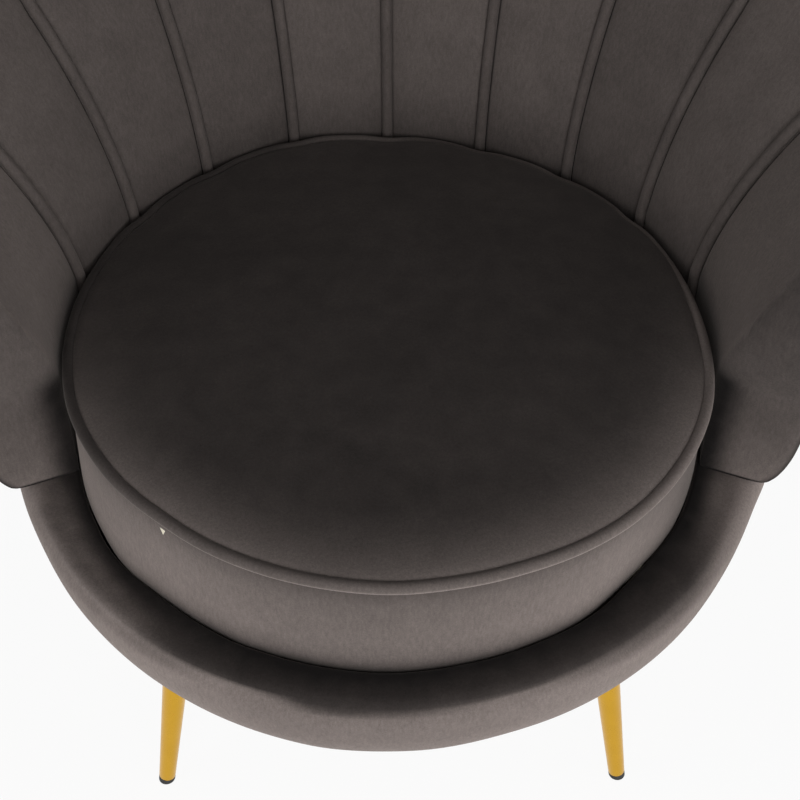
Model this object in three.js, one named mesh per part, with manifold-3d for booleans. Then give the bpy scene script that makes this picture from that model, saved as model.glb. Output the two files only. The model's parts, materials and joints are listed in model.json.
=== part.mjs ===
// A scallop back chair: a round, low tub armchair. A drum base on four splayed metal legs carries a
// shell-shaped back of padded channels with piping between them, and a loose round seat cushion.
// Sizes are in millimetres. X runs across the chair, Y to the back and Z up; the sitter faces -Y.
import * as THREE from "three";
import { mergeVertices } from "three/addons/utils/BufferGeometryUtils.js";
import Module from "manifold-3d";

const wasm = await Module();
wasm.setup();

// Fits that all pieces share
const GAP = 0.3; // between two pieces that touch
const HOLE_FIT = 0.5; // round a bolt or stud in its hole
const OVERRUN = 6; // how far a cutter runs past what it cuts
const VELVET = 2; // velvet with its backing

// Base: a padded drum
const RIM_WIDTH = 58; // from the cushion's recess to the side
const BASE_HEIGHT = 87;
const GROUND_CLEARANCE = 250;
const RIM_TOP_ROUND = 19;
const RIM_BOTTOM_ROUND = 38; // the side draws in by this much
const RIM_BOTTOM_RISE = 66; // over this height
const UNDER_MARGIN = 52; // the velvet ends this far in from the side, under the base
const RECESS_DEPTH = 24; // the cushion sits this deep in the base
const RECESS_FIT = 6; // round the cushion
const RECESS_ROUND = 8;
const SEAT_FORWARD = 20; // the cushion's axis lies this far in front of the base's

// Wooden frame of the base
const RING_THICK = 12;
const BOTTOM_RING_INSET = 44; // from the base's side
const BOTTOM_RING_WIDTH = 86;
const TOP_RING_MARGIN = 8; // outside the circle of the back's bolts
const BOTTOM_RING_LIFT = 5; // above the underside
const HOOP_INSET = 16; // from the bottom ring's edge
const HOOP_THICK = 12;
const HOOP_HEIGHT = 10;
const FOAM_STEP = 8; // room for the bolt heads under the top ring

// Seat suspension
const STRAP_WIDTH = 62;
const STRAP_THICK = 1.5;
const STRAP_PITCH = 110;
const STRAP_HOLD = 38; // length of a strap's end on the top ring
const STRAPS_EACH_WAY = 3;
const DECK_CLOTH = 2;
const DECK_FIT = 1.2; // round the edge of the deck
const DUST_CLOTH = 1.2;

// Seat cushion
const CUSHION_RADIUS = 266;
const CUSHION_BAND = 122; // between the two piping cords
const CUSHION_CROWN = 13;
const CUSHION_PIPING = 4.2; // radius of the cord

// Zip in the back of the cushion's band
const ZIP_ARC = THREE.MathUtils.degToRad(140);
const ZIP_SLOT = 24;
const ZIP_TAPE = 1.2;
const ZIP_COIL_WIDTH = 5;
const ZIP_COIL_THICK = 1.4;
const SLIDER_LENGTH = 12;
const SLIDER_WIDTH = 10;
const SLIDER_WALL = 1.4;
const SLIDER_CLEARANCE = 0.5;
const SLIDER_PARK = THREE.MathUtils.degToRad(62); // from the middle of the back

// Back: channels that fan out round the cushion
const CHANNELS = 10;
const CHANNEL_ANGLE = THREE.MathUtils.degToRad(18.85);
const END_CHANNEL_ANGLE = THREE.MathUtils.degToRad(28.9);
const BACK_HEIGHT = 780;
const ARM_DROP = 152; // the last lobes are this much lower than the middle
const SCALLOP = 22; // depth of the notch between two lobes
const CORNER_DROP = 72; // rounding of the arm's front top corner
const SCALLOP_POWER = 2.2;
const SEAM_CLEARANCE = 15.5; // from the cushion to the seams behind it
const CROWN = 9; // of a channel at the bottom
const CROWN_GAIN = 5; // added at the top
const CROWN_POWER = 0.9;
const FLARE_REAR = 45; // how far the seams lean out at LEAN_SPAN above the cushion
const FLARE_ARM = 104;
const FLARE_POWER = 3.5;
const LEAN_START = 10; // below the cushion's top piping
const LEAN_SPAN = 210;
const LEAN_POWER = 1.9;
const LEAN_EASE = 0.8;
const FAN_RATE = THREE.MathUtils.degToRad(0.19); // times a seam's number squared, its turn in FAN_SPAN
const FAN_SPAN = 100;
const OVERHANG = 16; // the back bulges this far over the base
const OVERHANG_RISE = 46;
const EDGE_THICK = 29; // behind the seams at the top edge
const OUTER_PACK = 14; // frame and outside cover, behind the channels
const EDGE_ROLL = 30; // rounding of the top edge
const NOSE_ROLL = 20; // rounding of the arms' front ends, on the inside
const NOSE_CORNER = 13; // and on the outside
const NOSE_SKEW = THREE.MathUtils.degToRad(1.2); // the ends' outside reaches this much further round
const NOSE_FOOT_SHARE = 0.4; // of the ends' rounding at the foot
const NOSE_RISE = 70; // height over which it grows to the full size
const BACK_PIPING = 4.8; // radius of the cord
const PIPING_LIFT = 0.8; // of the cord above its seam
const PIPING_LIFT_AT_EDGE = 2.6;

// Back frame
const RAIL_HEIGHT = 24;
const RAIL_INSET = 3.5; // behind the seams
const FRAME_INSET = 18; // of the back's wooden shell, from the edge
const LAYER_FIT = 1.1; // between the covers and what they are drawn over
const BOLT_RADIUS = 4;
const BOLT_HEAD_RADIUS = 7.5;
const BOLT_HEAD_HEIGHT = 5;
const BOLT_INSET = 15; // from the rail's front
const BOLT_DEPTH = 17; // into the rail
const BOLT_ANGLES = [-85, -30, 30, 85].map(THREE.MathUtils.degToRad);

// Legs
const LEG_INSET = 50; // from the bottom ring's edge
const LEG_ANGLES = { front_right: 130.5, front_left: -130.5, back_right: 48, back_left: -48 };
const LEG_SPLAY = THREE.MathUtils.degToRad(11.5);
const LEG_TOP_RADIUS = 14;
const LEG_FOOT_RADIUS = 7.8;
const LEG_WALL = 1.6;
const LEG_CAP = 4;
const LEG_CHAMFER = 1;
const STUD_RADIUS = 4;
const STUD_LENGTH = 26;
const PLATE_SIDE = 56;
const PLATE_THICK = 2.5;
const PLATE_HOLE_RADIUS = 2.5;
const PLATE_HOLE_EDGE = 8;
const BOSS_RADIUS = 11;
const BOSS_LENGTH = 13;
const GLIDE_PLUG = 14;
const GLIDE_HEIGHT = 3;

// Facets
const ROUND_FACETS = 36;
const CORD_FACETS = 6;
const LEG_FACETS = 12;
const HOLE_FACETS = 8;
const SLIDER_STEPS = 4;

// Radii that follow
const RECESS_RADIUS = CUSHION_RADIUS + RECESS_FIT;
const BASE_RADIUS = RECESS_RADIUS + RIM_WIDTH;
const UNDER_RADIUS = BASE_RADIUS - UNDER_MARGIN;
const SEAM_RADIUS = CUSHION_RADIUS + SEAM_CLEARANCE;
const RAIL_RADIUS = SEAM_RADIUS + RAIL_INSET;
const BOLT_RING_RADIUS = RAIL_RADIUS + BOLT_INSET;
const BOTTOM_RING_RADIUS = BASE_RADIUS - BOTTOM_RING_INSET;
const RING_HOLE_RADIUS = BOTTOM_RING_RADIUS - BOTTOM_RING_WIDTH;
const TOP_RING_RADIUS = BOLT_RING_RADIUS + TOP_RING_MARGIN;
const HOOP_RADIUS = BOTTOM_RING_RADIUS - HOOP_INSET;
const STRAP_REACH = RING_HOLE_RADIUS + STRAP_HOLD;
const LEG_RING_RADIUS = BOTTOM_RING_RADIUS - LEG_INSET;

// Heights that follow
const RIM_Z = GROUND_CLEARANCE + BASE_HEIGHT;
const DECK_Z = RIM_Z - RECESS_DEPTH;
const BOTTOM_RING_Z = GROUND_CLEARANCE + BOTTOM_RING_LIFT;
const HOOP_Z = BOTTOM_RING_Z + RING_THICK + GAP;
const TOP_RING_Z = HOOP_Z + HOOP_HEIGHT + GAP;
const STRAP_Z = TOP_RING_Z + RING_THICK + GAP;
const DECK_FOAM_Z = STRAP_Z + 2 * (STRAP_THICK + GAP);
const LOW_PIPING_Z = DECK_Z + GAP + CUSHION_PIPING;
const TOP_PIPING_Z = LOW_PIPING_Z + CUSHION_BAND;
const BACK_Z = RIM_Z + GAP;
const RAIL_TOP_Z = BACK_Z + RAIL_HEIGHT + GAP;
const HALF = CHANNELS / 2;
const CHANNELS_TO_LAST_TOP = HALF - 0.5; // from the middle of the back to the top of the last lobe

const velvet = new THREE.MeshStandardMaterial({ color: 0x4a4240, roughness: 0.95, metalness: 0 });
const pipingVelvet = new THREE.MeshStandardMaterial({ color: 0x544b48, roughness: 0.95, metalness: 0 });
const foam = new THREE.MeshStandardMaterial({ color: 0xe6dfc8, roughness: 1, metalness: 0 });
const plywood = new THREE.MeshStandardMaterial({ color: 0xc79f6d, roughness: 0.8, metalness: 0 });
const webbing = new THREE.MeshStandardMaterial({ color: 0x8a7a5c, roughness: 0.9, metalness: 0 });
const blackCloth = new THREE.MeshStandardMaterial({ color: 0x1b1b1c, roughness: 1, metalness: 0 });
const gold = new THREE.MeshStandardMaterial({ color: 0xd0a02c, roughness: 0.35, metalness: 1 });
const steel = new THREE.MeshStandardMaterial({ color: 0x9a9da0, roughness: 0.4, metalness: 1 });
const plastic = new THREE.MeshStandardMaterial({ color: 0x161616, roughness: 0.6, metalness: 0 });

const chair = new THREE.Group();
const seat = new THREE.Group(); // pieces drawn about the cushion's axis
seat.position.y = -SEAT_FORWARD;
chair.add(seat);

function put(parent, name, geometry, material) {
  const mesh = new THREE.Mesh(geometry, material);
  mesh.name = name;
  parent.add(mesh);
  return mesh;
}

// Closed geometry from triangles, turned round if they face inwards
function closed(triangles) {
  const volume = triangles.reduce((sum, [a, b, c]) => sum + a.dot(b.clone().cross(c)), 0);
  const outward = volume < 0 ? triangles.map(([a, b, c]) => [a, c, b]) : triangles;
  const geometry = new THREE.BufferGeometry().setFromPoints(outward.flat());
  geometry.computeVertexNormals();
  return geometry;
}

const quad = (a, b, c, d) => [[a, b, c], [a, c, d]];

// The triangles of a grid of points, grid[column][row]
function sheet(grid) {
  const triangles = [];
  for (let i = 0; i + 1 < grid.length; i++) {
    for (let j = 0; j + 1 < grid[i].length; j++) {
      triangles.push(...quad(grid[i][j], grid[i + 1][j], grid[i + 1][j + 1], grid[i][j + 1]));
    }
  }
  return triangles;
}

// The edge of a grid, once round
function rim(grid) {
  const inner = grid.slice(1, -1);
  return [
    grid[0][0],
    ...inner.map((column) => column[0]),
    ...grid.at(-1),
    ...inner.map((column) => column.at(-1)).reverse(),
    ...grid[0].slice(1).reverse(),
  ];
}

// A solid between two grids that match point for point
function slab(front, back) {
  const a = rim(front);
  const b = rim(back);
  const edge = a.flatMap((p, k) => quad(a[(k + 1) % a.length], p, b[k], b[(k + 1) % b.length]));
  return closed([...sheet(front), ...sheet(back).map((t) => t.toReversed()), ...edge]);
}

// A ring: closed section loops, joined one to the next and the last to the first
function ring(loops) {
  return closed(sheet([...loops, loops[0]].map((loop) => [...loop, loop[0]])));
}

// A bar: closed section loops with both ends capped; outline is the section in the plane
function bar(loops, outline) {
  const turned = THREE.ShapeUtils.isClockWise(outline);
  const order = (list) => (turned ? list.toReversed() : list);
  const sides = loops.map(order);
  const cap = THREE.ShapeUtils.triangulateShape(order(outline), []);
  const start = cap.map((t) => t.map((k) => sides[0][k]));
  const end = cap.map((t) => t.map((k) => sides.at(-1)[k]).reverse());
  return closed([...sheet(sides.map((loop) => [...loop, loop[0]])), ...start, ...end]);
}

// A point at an angle from the back, round a vertical axis
function polar(radius, angle, z) {
  return new THREE.Vector3(radius * Math.sin(angle), radius * Math.cos(angle), z);
}

// The section turned through an arc round a vertical axis; section points are (radius, height)
function arcBar(section, from, to, steps) {
  const loops = [];
  for (let i = 0; i <= steps; i++) {
    const angle = from + ((to - from) * i) / steps;
    loops.push(section.map((p) => polar(p.x, angle, p.y)));
  }
  return bar(loops, section);
}

// The section turned full circle; a profile that meets the axis closes on it
function turned(section, facets = ROUND_FACETS) {
  return new THREE.LatheGeometry(section, facets).rotateX(Math.PI / 2);
}

// A round cord along the points, closed at both ends; across is about square to its course
function cord(points, radius, across) {
  const turns = Array.from({ length: CORD_FACETS }, (_, k) => (2 * Math.PI * k) / CORD_FACETS);
  const loops = points.map((p, k) => {
    const course = points[Math.min(k + 1, points.length - 1)].clone().sub(points[Math.max(k - 1, 0)]);
    const side = new THREE.Vector3().crossVectors(course, across).normalize();
    const out = new THREE.Vector3().crossVectors(side, course).normalize();
    const place = (a) => side.clone().multiplyScalar(Math.cos(a)).addScaledVector(out, Math.sin(a));
    return turns.map((a) => p.clone().addScaledVector(place(a), radius));
  });
  return bar(loops, turns.map((a) => at(Math.cos(a), Math.sin(a))));
}

const at = (radius, z) => new THREE.Vector2(radius, z);
const disc = (radius, z, thick) => turned(oblong(0, radius, z, thick));

// A rectangular section
function oblong(inner, outer, z, height) {
  return [at(inner, z), at(outer, z), at(outer, z + height), at(inner, z + height)];
}

function washer(inner, outer, z, height) {
  const section = oblong(inner, outer, z, height);
  return turned([...section, section[0]]);
}

function cylinder(radius, from, to, facets) {
  const axis = to.clone().sub(from);
  const geometry = new THREE.CylinderGeometry(radius, radius, axis.length(), facets);
  const turn = new THREE.Quaternion().setFromUnitVectors(new THREE.Vector3(0, 1, 0), axis.normalize());
  geometry.applyQuaternion(turn);
  const middle = from.clone().add(to).divideScalar(2);
  return geometry.translate(middle.x, middle.y, middle.z);
}

// manifold-3d joins and cuts
function toSolid(geometry) {
  const bare = geometry.clone();
  bare.deleteAttribute("normal");
  bare.deleteAttribute("uv");
  const merged = mergeVertices(bare, 1e-3);
  const triVerts = new Uint32Array(merged.index.array);
  const vertProperties = merged.attributes.position.array;
  return new wasm.Manifold(new wasm.Mesh({ numProp: 3, vertProperties, triVerts }));
}

function fromSolid(solid) {
  const mesh = solid.getMesh();
  const geometry = new THREE.BufferGeometry();
  geometry.setAttribute("position", new THREE.BufferAttribute(mesh.vertProperties, 3));
  geometry.setIndex(new THREE.BufferAttribute(mesh.triVerts, 1));
  geometry.computeVertexNormals();
  return geometry;
}

const cut = (geometry, cutters) =>
  fromSolid(cutters.reduce((solid, cutter) => solid.subtract(toSolid(cutter)), toSolid(geometry)));

// Base

// Radius of the cushion's recess seen from the base's axis, at an angle from the back
function recessAt(angle) {
  const across = SEAT_FORWARD * Math.sin(angle);
  return Math.sqrt(RECESS_RADIUS ** 2 - across ** 2) - SEAT_FORWARD * Math.cos(angle);
}

// Points of a corner rounded on a circle, or on an ellipse if it is taller than wide
function roundedCorner(radius, z, across, degrees, up = across) {
  return degrees.map((d) => {
    const a = THREE.MathUtils.degToRad(d);
    return at(radius + across * Math.cos(a), z + up * Math.sin(a));
  });
}

const INNER_DEGREES = [180, 135, 90];
const TOP_DEGREES = [90, 45, 0];
const BOTTOM_DEGREES = [-5, -35, -65, -90];

// The padded rim's outline, set in from the velvet's face, from the recess over the top to the underside
function rimOutline(angle, inset, bottomDegrees) {
  const recess = recessAt(angle);
  return [
    ...roundedCorner(recess + RECESS_ROUND, RIM_Z - RECESS_ROUND, RECESS_ROUND - inset, INNER_DEGREES),
    ...roundedCorner(BASE_RADIUS - RIM_TOP_ROUND, RIM_Z - RIM_TOP_ROUND, RIM_TOP_ROUND - inset, TOP_DEGREES),
    ...roundedCorner(
      BASE_RADIUS - RIM_BOTTOM_ROUND,
      GROUND_CLEARANCE + RIM_BOTTOM_RISE,
      RIM_BOTTOM_ROUND - inset,
      bottomDegrees,
      RIM_BOTTOM_RISE - inset,
    ),
  ];
}

function aroundBase(section) {
  const loops = [];
  for (let i = 0; i < ROUND_FACETS; i++) {
    const angle = (2 * Math.PI * i) / ROUND_FACETS;
    loops.push(section(angle).map((p) => polar(p.x, angle, p.y)));
  }
  return ring(loops);
}

const skinBottomZ = DECK_Z - DECK_CLOTH;

const boltHoles = BOLT_ANGLES.map((angle) => {
  const foot = polar(BOLT_RING_RADIUS, angle, TOP_RING_Z - OVERRUN);
  foot.y -= SEAT_FORWARD;
  return cylinder(BOLT_RADIUS + HOLE_FIT, foot, foot.clone().setZ(RIM_Z + OVERRUN), HOLE_FACETS);
});

function baseCover() {
  const section = (angle) => {
    const face = rimOutline(angle, 0, BOTTOM_DEGREES);
    const back = rimOutline(angle, VELVET, BOTTOM_DEGREES);
    const recess = recessAt(angle);
    return [
      at(recess, skinBottomZ),
      ...face,
      at(UNDER_RADIUS, GROUND_CLEARANCE),
      at(UNDER_RADIUS, GROUND_CLEARANCE + VELVET),
      ...back.toReversed(),
      at(recess + VELVET, skinBottomZ),
    ];
  };
  return cut(aroundBase(section), boltHoles);
}

function baseFoam() {
  const inset = VELVET + GAP;
  const low = TOP_RING_Z + RING_THICK + GAP;
  const step = TOP_RING_Z - FOAM_STEP;
  const section = (angle) => [
    at(recessAt(angle) + inset, low),
    ...rimOutline(angle, inset, BOTTOM_DEGREES.slice(0, -1)),
    at(BOTTOM_RING_RADIUS + VELVET, BOTTOM_RING_Z),
    at(BOTTOM_RING_RADIUS + VELVET, step),
    at(TOP_RING_RADIUS + GAP, step),
    at(TOP_RING_RADIUS + GAP, low),
  ];
  return cut(aroundBase(section), boltHoles);
}

// Legs: each has its own frame, with its origin on the underside of the bottom ring
const legSeats = Object.entries(LEG_ANGLES).map(([name, degrees]) => {
  const angle = THREE.MathUtils.degToRad(degrees);
  const top = polar(LEG_RING_RADIUS, angle, BOTTOM_RING_Z - GAP);
  const foot = polar(Math.sin(LEG_SPLAY), angle, -Math.cos(LEG_SPLAY));
  return { name, angle, top, down: foot };
});

const along = (leg, distance) => leg.top.clone().addScaledVector(leg.down, distance);
const legHole = (leg, radius, start) =>
  cylinder(radius, along(leg, start), along(leg, BOSS_LENGTH + OVERRUN), HOLE_FACETS);
const studHoles = legSeats.map((leg) => legHole(leg, STUD_RADIUS + HOLE_FIT, -RING_THICK - OVERRUN));
const bossHoles = legSeats.map((leg) => legHole(leg, BOSS_RADIUS + GAP, 0));

function legPlate(leg) {
  const half = PLATE_SIDE / 2;
  const corner = half - PLATE_HOLE_EDGE;
  const shape = new THREE.Shape([at(-half, -half), at(half, -half), at(half, half), at(-half, half)]);
  for (const [x, y] of [[corner, corner], [-corner, corner], [-corner, -corner], [corner, -corner]]) {
    const hole = new THREE.Path().absarc(x, y, PLATE_HOLE_RADIUS, 0, 2 * Math.PI, true);
    shape.holes.push(new THREE.Path(hole.getSpacedPoints(HOLE_FACETS / 2).slice(1)));
  }
  const plate = new THREE.ExtrudeGeometry(shape, { depth: PLATE_THICK, bevelEnabled: false });
  plate.rotateZ(-leg.angle).translate(leg.top.x, leg.top.y, leg.top.z - PLATE_THICK);
  const boss = cylinder(BOSS_RADIUS, along(leg, PLATE_THICK / 2), along(leg, BOSS_LENGTH), HOLE_FACETS);
  const flat = new THREE.BoxGeometry(PLATE_SIDE, PLATE_SIDE, OVERRUN);
  flat.translate(leg.top.x, leg.top.y, leg.top.z + OVERRUN / 2);
  const joined = toSolid(plate).add(toSolid(boss)).subtract(toSolid(flat));
  const hole = studHoles[legSeats.indexOf(leg)];
  return fromSolid(joined.subtract(toSolid(hole)));
}

const legStart = BOSS_LENGTH + GAP;
const legDrop = BOTTOM_RING_Z - GAP - GLIDE_HEIGHT;
const legEnd = legDrop / Math.cos(LEG_SPLAY) - LEG_FOOT_RADIUS * Math.tan(LEG_SPLAY);

// The tube's outer radius at a distance down the leg
function legRadius(distance) {
  return THREE.MathUtils.mapLinear(distance, legStart, legEnd, LEG_TOP_RADIUS, LEG_FOOT_RADIUS);
}

function legGeometry() {
  const capEnd = legStart + LEG_CAP;
  return turned(
    [
      at(0, -capEnd),
      at(legRadius(capEnd) - LEG_WALL, -capEnd),
      at(legRadius(legEnd) - LEG_WALL, -legEnd),
      at(legRadius(legEnd), -legEnd),
      at(legRadius(legStart + LEG_CHAMFER), -legStart - LEG_CHAMFER),
      at(legRadius(legStart) - LEG_CHAMFER, -legStart),
      at(STUD_RADIUS, -legStart),
      at(STUD_RADIUS, STUD_LENGTH - legStart),
      at(0, STUD_LENGTH - legStart),
    ],
    LEG_FACETS,
  );
}

// A plastic glide: a plug in the tube, and a foot whose underside lies flat on the floor
function glideGeometry(leg) {
  const plug = LEG_FOOT_RADIUS - LEG_WALL - GAP;
  const side = new THREE.Vector3(Math.cos(leg.angle), -Math.sin(leg.angle), 0);
  const front = new THREE.Vector3().crossVectors(leg.down, side);
  const loop = (distance, radius) => {
    const points = [];
    for (let i = 0; i < LEG_FACETS; i++) {
      const a = (2 * Math.PI * i) / LEG_FACETS;
      const out = side.clone().multiplyScalar(Math.cos(a)).addScaledVector(front, Math.sin(a));
      points.push(along(leg, distance).addScaledVector(out, radius));
    }
    return points;
  };
  const flange = loop(legEnd + GAP, LEG_FOOT_RADIUS);
  const floor = flange.map((p) => p.clone().addScaledVector(leg.down, -p.z / leg.down.z));
  const outline = flange.map((p, i) => {
    const a = (2 * Math.PI * i) / LEG_FACETS;
    return at(Math.cos(a), Math.sin(a));
  });
  return bar([loop(legEnd - GLIDE_PLUG, plug), loop(legEnd + GAP, plug), flange, floor], outline);
}

function buildBase() {
  put(chair, "base_cover", baseCover(), velvet);
  put(chair, "base_rim_foam", baseFoam(), foam);
  const bottomRing = washer(RING_HOLE_RADIUS, BOTTOM_RING_RADIUS, BOTTOM_RING_Z, RING_THICK);
  put(chair, "base_bottom_ring", cut(bottomRing, studHoles), plywood);
  put(chair, "base_hoop", washer(HOOP_RADIUS - HOOP_THICK, HOOP_RADIUS, HOOP_Z, HOOP_HEIGHT), plywood);
  const topRing = washer(RING_HOLE_RADIUS, TOP_RING_RADIUS, TOP_RING_Z, RING_THICK);
  put(chair, "base_top_ring", cut(topRing, boltHoles), plywood);
  const dust = disc(UNDER_RADIUS - GAP, GROUND_CLEARANCE + GAP, DUST_CLOTH);
  put(chair, "dust_cover", cut(dust, bossHoles), blackCloth);
  for (let k = 0; k < STRAPS_EACH_WAY; k++) {
    const offset = (k - (STRAPS_EACH_WAY - 1) / 2) * STRAP_PITCH;
    const reach = Math.abs(offset) + STRAP_WIDTH / 2;
    const length = 2 * Math.sqrt(STRAP_REACH ** 2 - reach ** 2);
    const lower = new THREE.BoxGeometry(STRAP_WIDTH, length, STRAP_THICK);
    const upper = new THREE.BoxGeometry(length, STRAP_WIDTH, STRAP_THICK);
    const z = STRAP_Z + STRAP_THICK / 2;
    put(chair, `webbing_lengthwise_${k + 1}`, lower.translate(offset, 0, z), webbing);
    put(chair, `webbing_crosswise_${k + 1}`, upper.translate(0, offset, z + STRAP_THICK + GAP), webbing);
  }
  const foamRadius = RECESS_RADIUS + VELVET - DECK_FIT;
  put(seat, "deck_foam", disc(foamRadius, DECK_FOAM_Z, skinBottomZ - GAP - DECK_FOAM_Z), foam);
  put(seat, "deck_cloth", disc(RECESS_RADIUS - DECK_FIT, skinBottomZ, DECK_CLOTH), blackCloth);
}

function buildLegs() {
  const geometry = legGeometry();
  for (const leg of legSeats) {
    const mesh = put(chair, `leg_${leg.name}`, geometry, gold);
    mesh.position.copy(leg.top);
    mesh.quaternion.setFromUnitVectors(new THREE.Vector3(0, 0, -1), leg.down);
    put(chair, `leg_plate_${leg.name}`, legPlate(leg), steel);
    put(chair, `foot_glide_${leg.name}`, glideGeometry(leg), plastic);
  }
}

// Back. A place on it is given by u, in channels from the middle, and its height z.

const inChannel = (u) => Math.abs(u) % 1;

function azimuth(u, z) {
  const n = Math.abs(u);
  const inner = HALF - 1;
  const base = Math.min(n, inner) * CHANNEL_ANGLE + Math.max(0, n - inner) * END_CHANNEL_ANGLE;
  const lean = (FAN_RATE * n ** 2 * Math.max(0, z - TOP_PIPING_Z)) / FAN_SPAN;
  return Math.sign(u) * (base + lean);
}

function leanAt(z) {
  const t = (z - TOP_PIPING_Z + LEAN_START) / LEAN_SPAN;
  return t <= 0 ? 0 : t <= 1 ? t ** LEAN_POWER : 1 + LEAN_POWER * LEAN_EASE * (t - 1);
}

function seamRadius(u, z) {
  const flare = FLARE_REAR + (FLARE_ARM - FLARE_REAR) * (Math.abs(u) / HALF) ** FLARE_POWER;
  return SEAM_RADIUS + flare * leanAt(z);
}

// Height of the lobes' tops, which sinks from the back to the arms
const crestZ = (u) => BACK_HEIGHT - ARM_DROP * (Math.abs(u) / CHANNELS_TO_LAST_TOP) ** 2;

// Height of the scalloped edge, with its notches at the seams and the arms' rounded corners
function edgeZ(u) {
  const n = Math.abs(u);
  const lobe = n === HALF ? 1 : inChannel(u);
  const notch = SCALLOP * Math.abs(2 * lobe - 1) ** SCALLOP_POWER;
  const corner = CORNER_DROP * Math.max(0, 2 * (n - HALF) + 1) ** 3;
  return crestZ(u) - notch - corner;
}

const rise = (u, z) => Math.max(0, z - BACK_Z) / (crestZ(u) - BACK_Z);

// Bulge of a channel; the last ones stay full up to the arms' front ends
function crownAt(u, z) {
  const x = Math.abs(u) > CHANNELS_TO_LAST_TOP ? 0.5 : inChannel(u);
  return (CROWN + CROWN_GAIN * rise(u, z) ** 2) * (4 * x * (1 - x)) ** CROWN_POWER;
}

const innerRadius = (u, z) => seamRadius(u, z) - crownAt(u, z);

function outerRadius(u, z) {
  const angle = azimuth(u, z);
  const across = SEAT_FORWARD * Math.sin(angle);
  const drum = SEAT_FORWARD * Math.cos(angle) + Math.sqrt(BASE_RADIUS ** 2 - across ** 2);
  const top = seamRadius(u, crestZ(u)) + EDGE_THICK;
  const up = THREE.MathUtils.clamp((z - BACK_Z) / OVERHANG_RISE, 0, 1);
  const drawnIn = OVERHANG * (1 - Math.sqrt(1 - (1 - up) ** 2));
  return drum + OVERHANG - drawnIn + (top - drum - OVERHANG) * rise(u, z);
}

const middleRadius = (u, z) => outerRadius(u, z) - OUTER_PACK;

// Length of arc in one end channel
const END_WIDTH = END_CHANNEL_ANGLE * (SEAM_RADIUS + EDGE_THICK);

// How far the faces have closed on each other near the rounded edges: 1 inside, 0 at the edge
function roundness(u, z, inset, fullNose) {
  const up = THREE.MathUtils.clamp((z - BACK_Z) / NOSE_RISE, 0, 1);
  const noseRoll = fullNose * THREE.MathUtils.lerp(NOSE_FOOT_SHARE, 1, up);
  const fromTop = (edgeZ(u) - z - inset) / (EDGE_ROLL - inset);
  const fromEnd = ((HALF - Math.abs(u)) * END_WIDTH - inset) / (noseRoll - inset);
  const top = THREE.MathUtils.clamp(1 - fromTop, 0, 1);
  const end = THREE.MathUtils.clamp(1 - fromEnd, 0, 1);
  return Math.sqrt(1 - top ** 2) * Math.cbrt(1 - end ** 3);
}

function frontFace(inset) {
  return (u, z) => {
    const middle = middleRadius(u, z) - GAP / 2;
    return middle - (middle - innerRadius(u, z) - inset) * roundness(u, z, inset, NOSE_ROLL);
  };
}

function backFace(inset) {
  return (u, z) => {
    const middle = middleRadius(u, z) + GAP / 2;
    return middle + (outerRadius(u, z) - middle - inset) * roundness(u, z, inset, NOSE_CORNER);
  };
}

const FIELD_SHARES = [0, 0.16, 0.36, 0.64, 1];
const ROLL_SHARES = [0.55, 0.2, 0];
const CHANNEL_SHARES = [0, 0.25, 0.5, 0.75];
const END_CHANNEL_SHARES = [0, 0.25, 0.5, 0.7];
const NOSE_SHARES = [1, 0.5, 0.2, 0.05, 0];

// Columns of u over one channel, from its seam; the end channels crowd towards the rounded end
function channelColumns(index, inset, endShares) {
  const low = index - HALF;
  const isEnd = index === 0 || index === CHANNELS - 1;
  if (!isEnd) return [...CHANNEL_SHARES, 1].map((s) => low + s);
  const nose = endShares.map((s) => HALF - (inset + (NOSE_ROLL - inset) * s) / END_WIDTH);
  const columns = [...END_CHANNEL_SHARES.map((s) => HALF - 1 + s), ...nose];
  return index === 0 ? columns.map((u) => -u).reverse() : columns;
}

function allColumns(inset, endShares) {
  const lists = Array.from({ length: CHANNELS }, (_, k) => channelColumns(k, inset, endShares));
  return lists.flatMap((list, k) => (k ? list.slice(1) : list));
}

// Heights of one column: foot, top of the rail, steps up the back, then crowded over the rounded edge
function rowsAt(u, inset, rollShares) {
  const edge = edgeZ(u);
  const field = FIELD_SHARES.map((s) => RAIL_TOP_Z + (edge - EDGE_ROLL - RAIL_TOP_Z) * s);
  return [BACK_Z, ...field, ...rollShares.map((s) => edge - inset - (EDGE_ROLL - inset) * s)];
}

// A point of the back: the arms' front ends turn a little with the radius
function place(u, z, radius) {
  const out = (radius - SEAM_RADIUS) / (BASE_RADIUS - SEAM_RADIUS);
  const skew = Math.sign(u) * NOSE_SKEW * Math.max(0, Math.abs(u) - HALF + 1) * out;
  return polar(radius, azimuth(u, z) + skew, z);
}

// The points of one face of the back, column by column
function facePoints(columns, face, rows) {
  return columns.map((u) => rows(u).map((z) => place(u, z, face(u, z))));
}

function coverSlab(face) {
  const grid = (inset) => {
    const rows = (u) => rowsAt(u, inset, ROLL_SHARES);
    return facePoints(allColumns(inset, NOSE_SHARES), face(inset), rows);
  };
  return slab(grid(0), grid(VELVET));
}

const FOAM_ROLL_SHARES = ROLL_SHARES.slice(0, 2);
const FOAM_NOSE_SHARES = NOSE_SHARES.slice(0, 3);
const FOAM_SIDE_SHARE = 0.006; // of a channel, which keeps neighbouring pads apart

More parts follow.
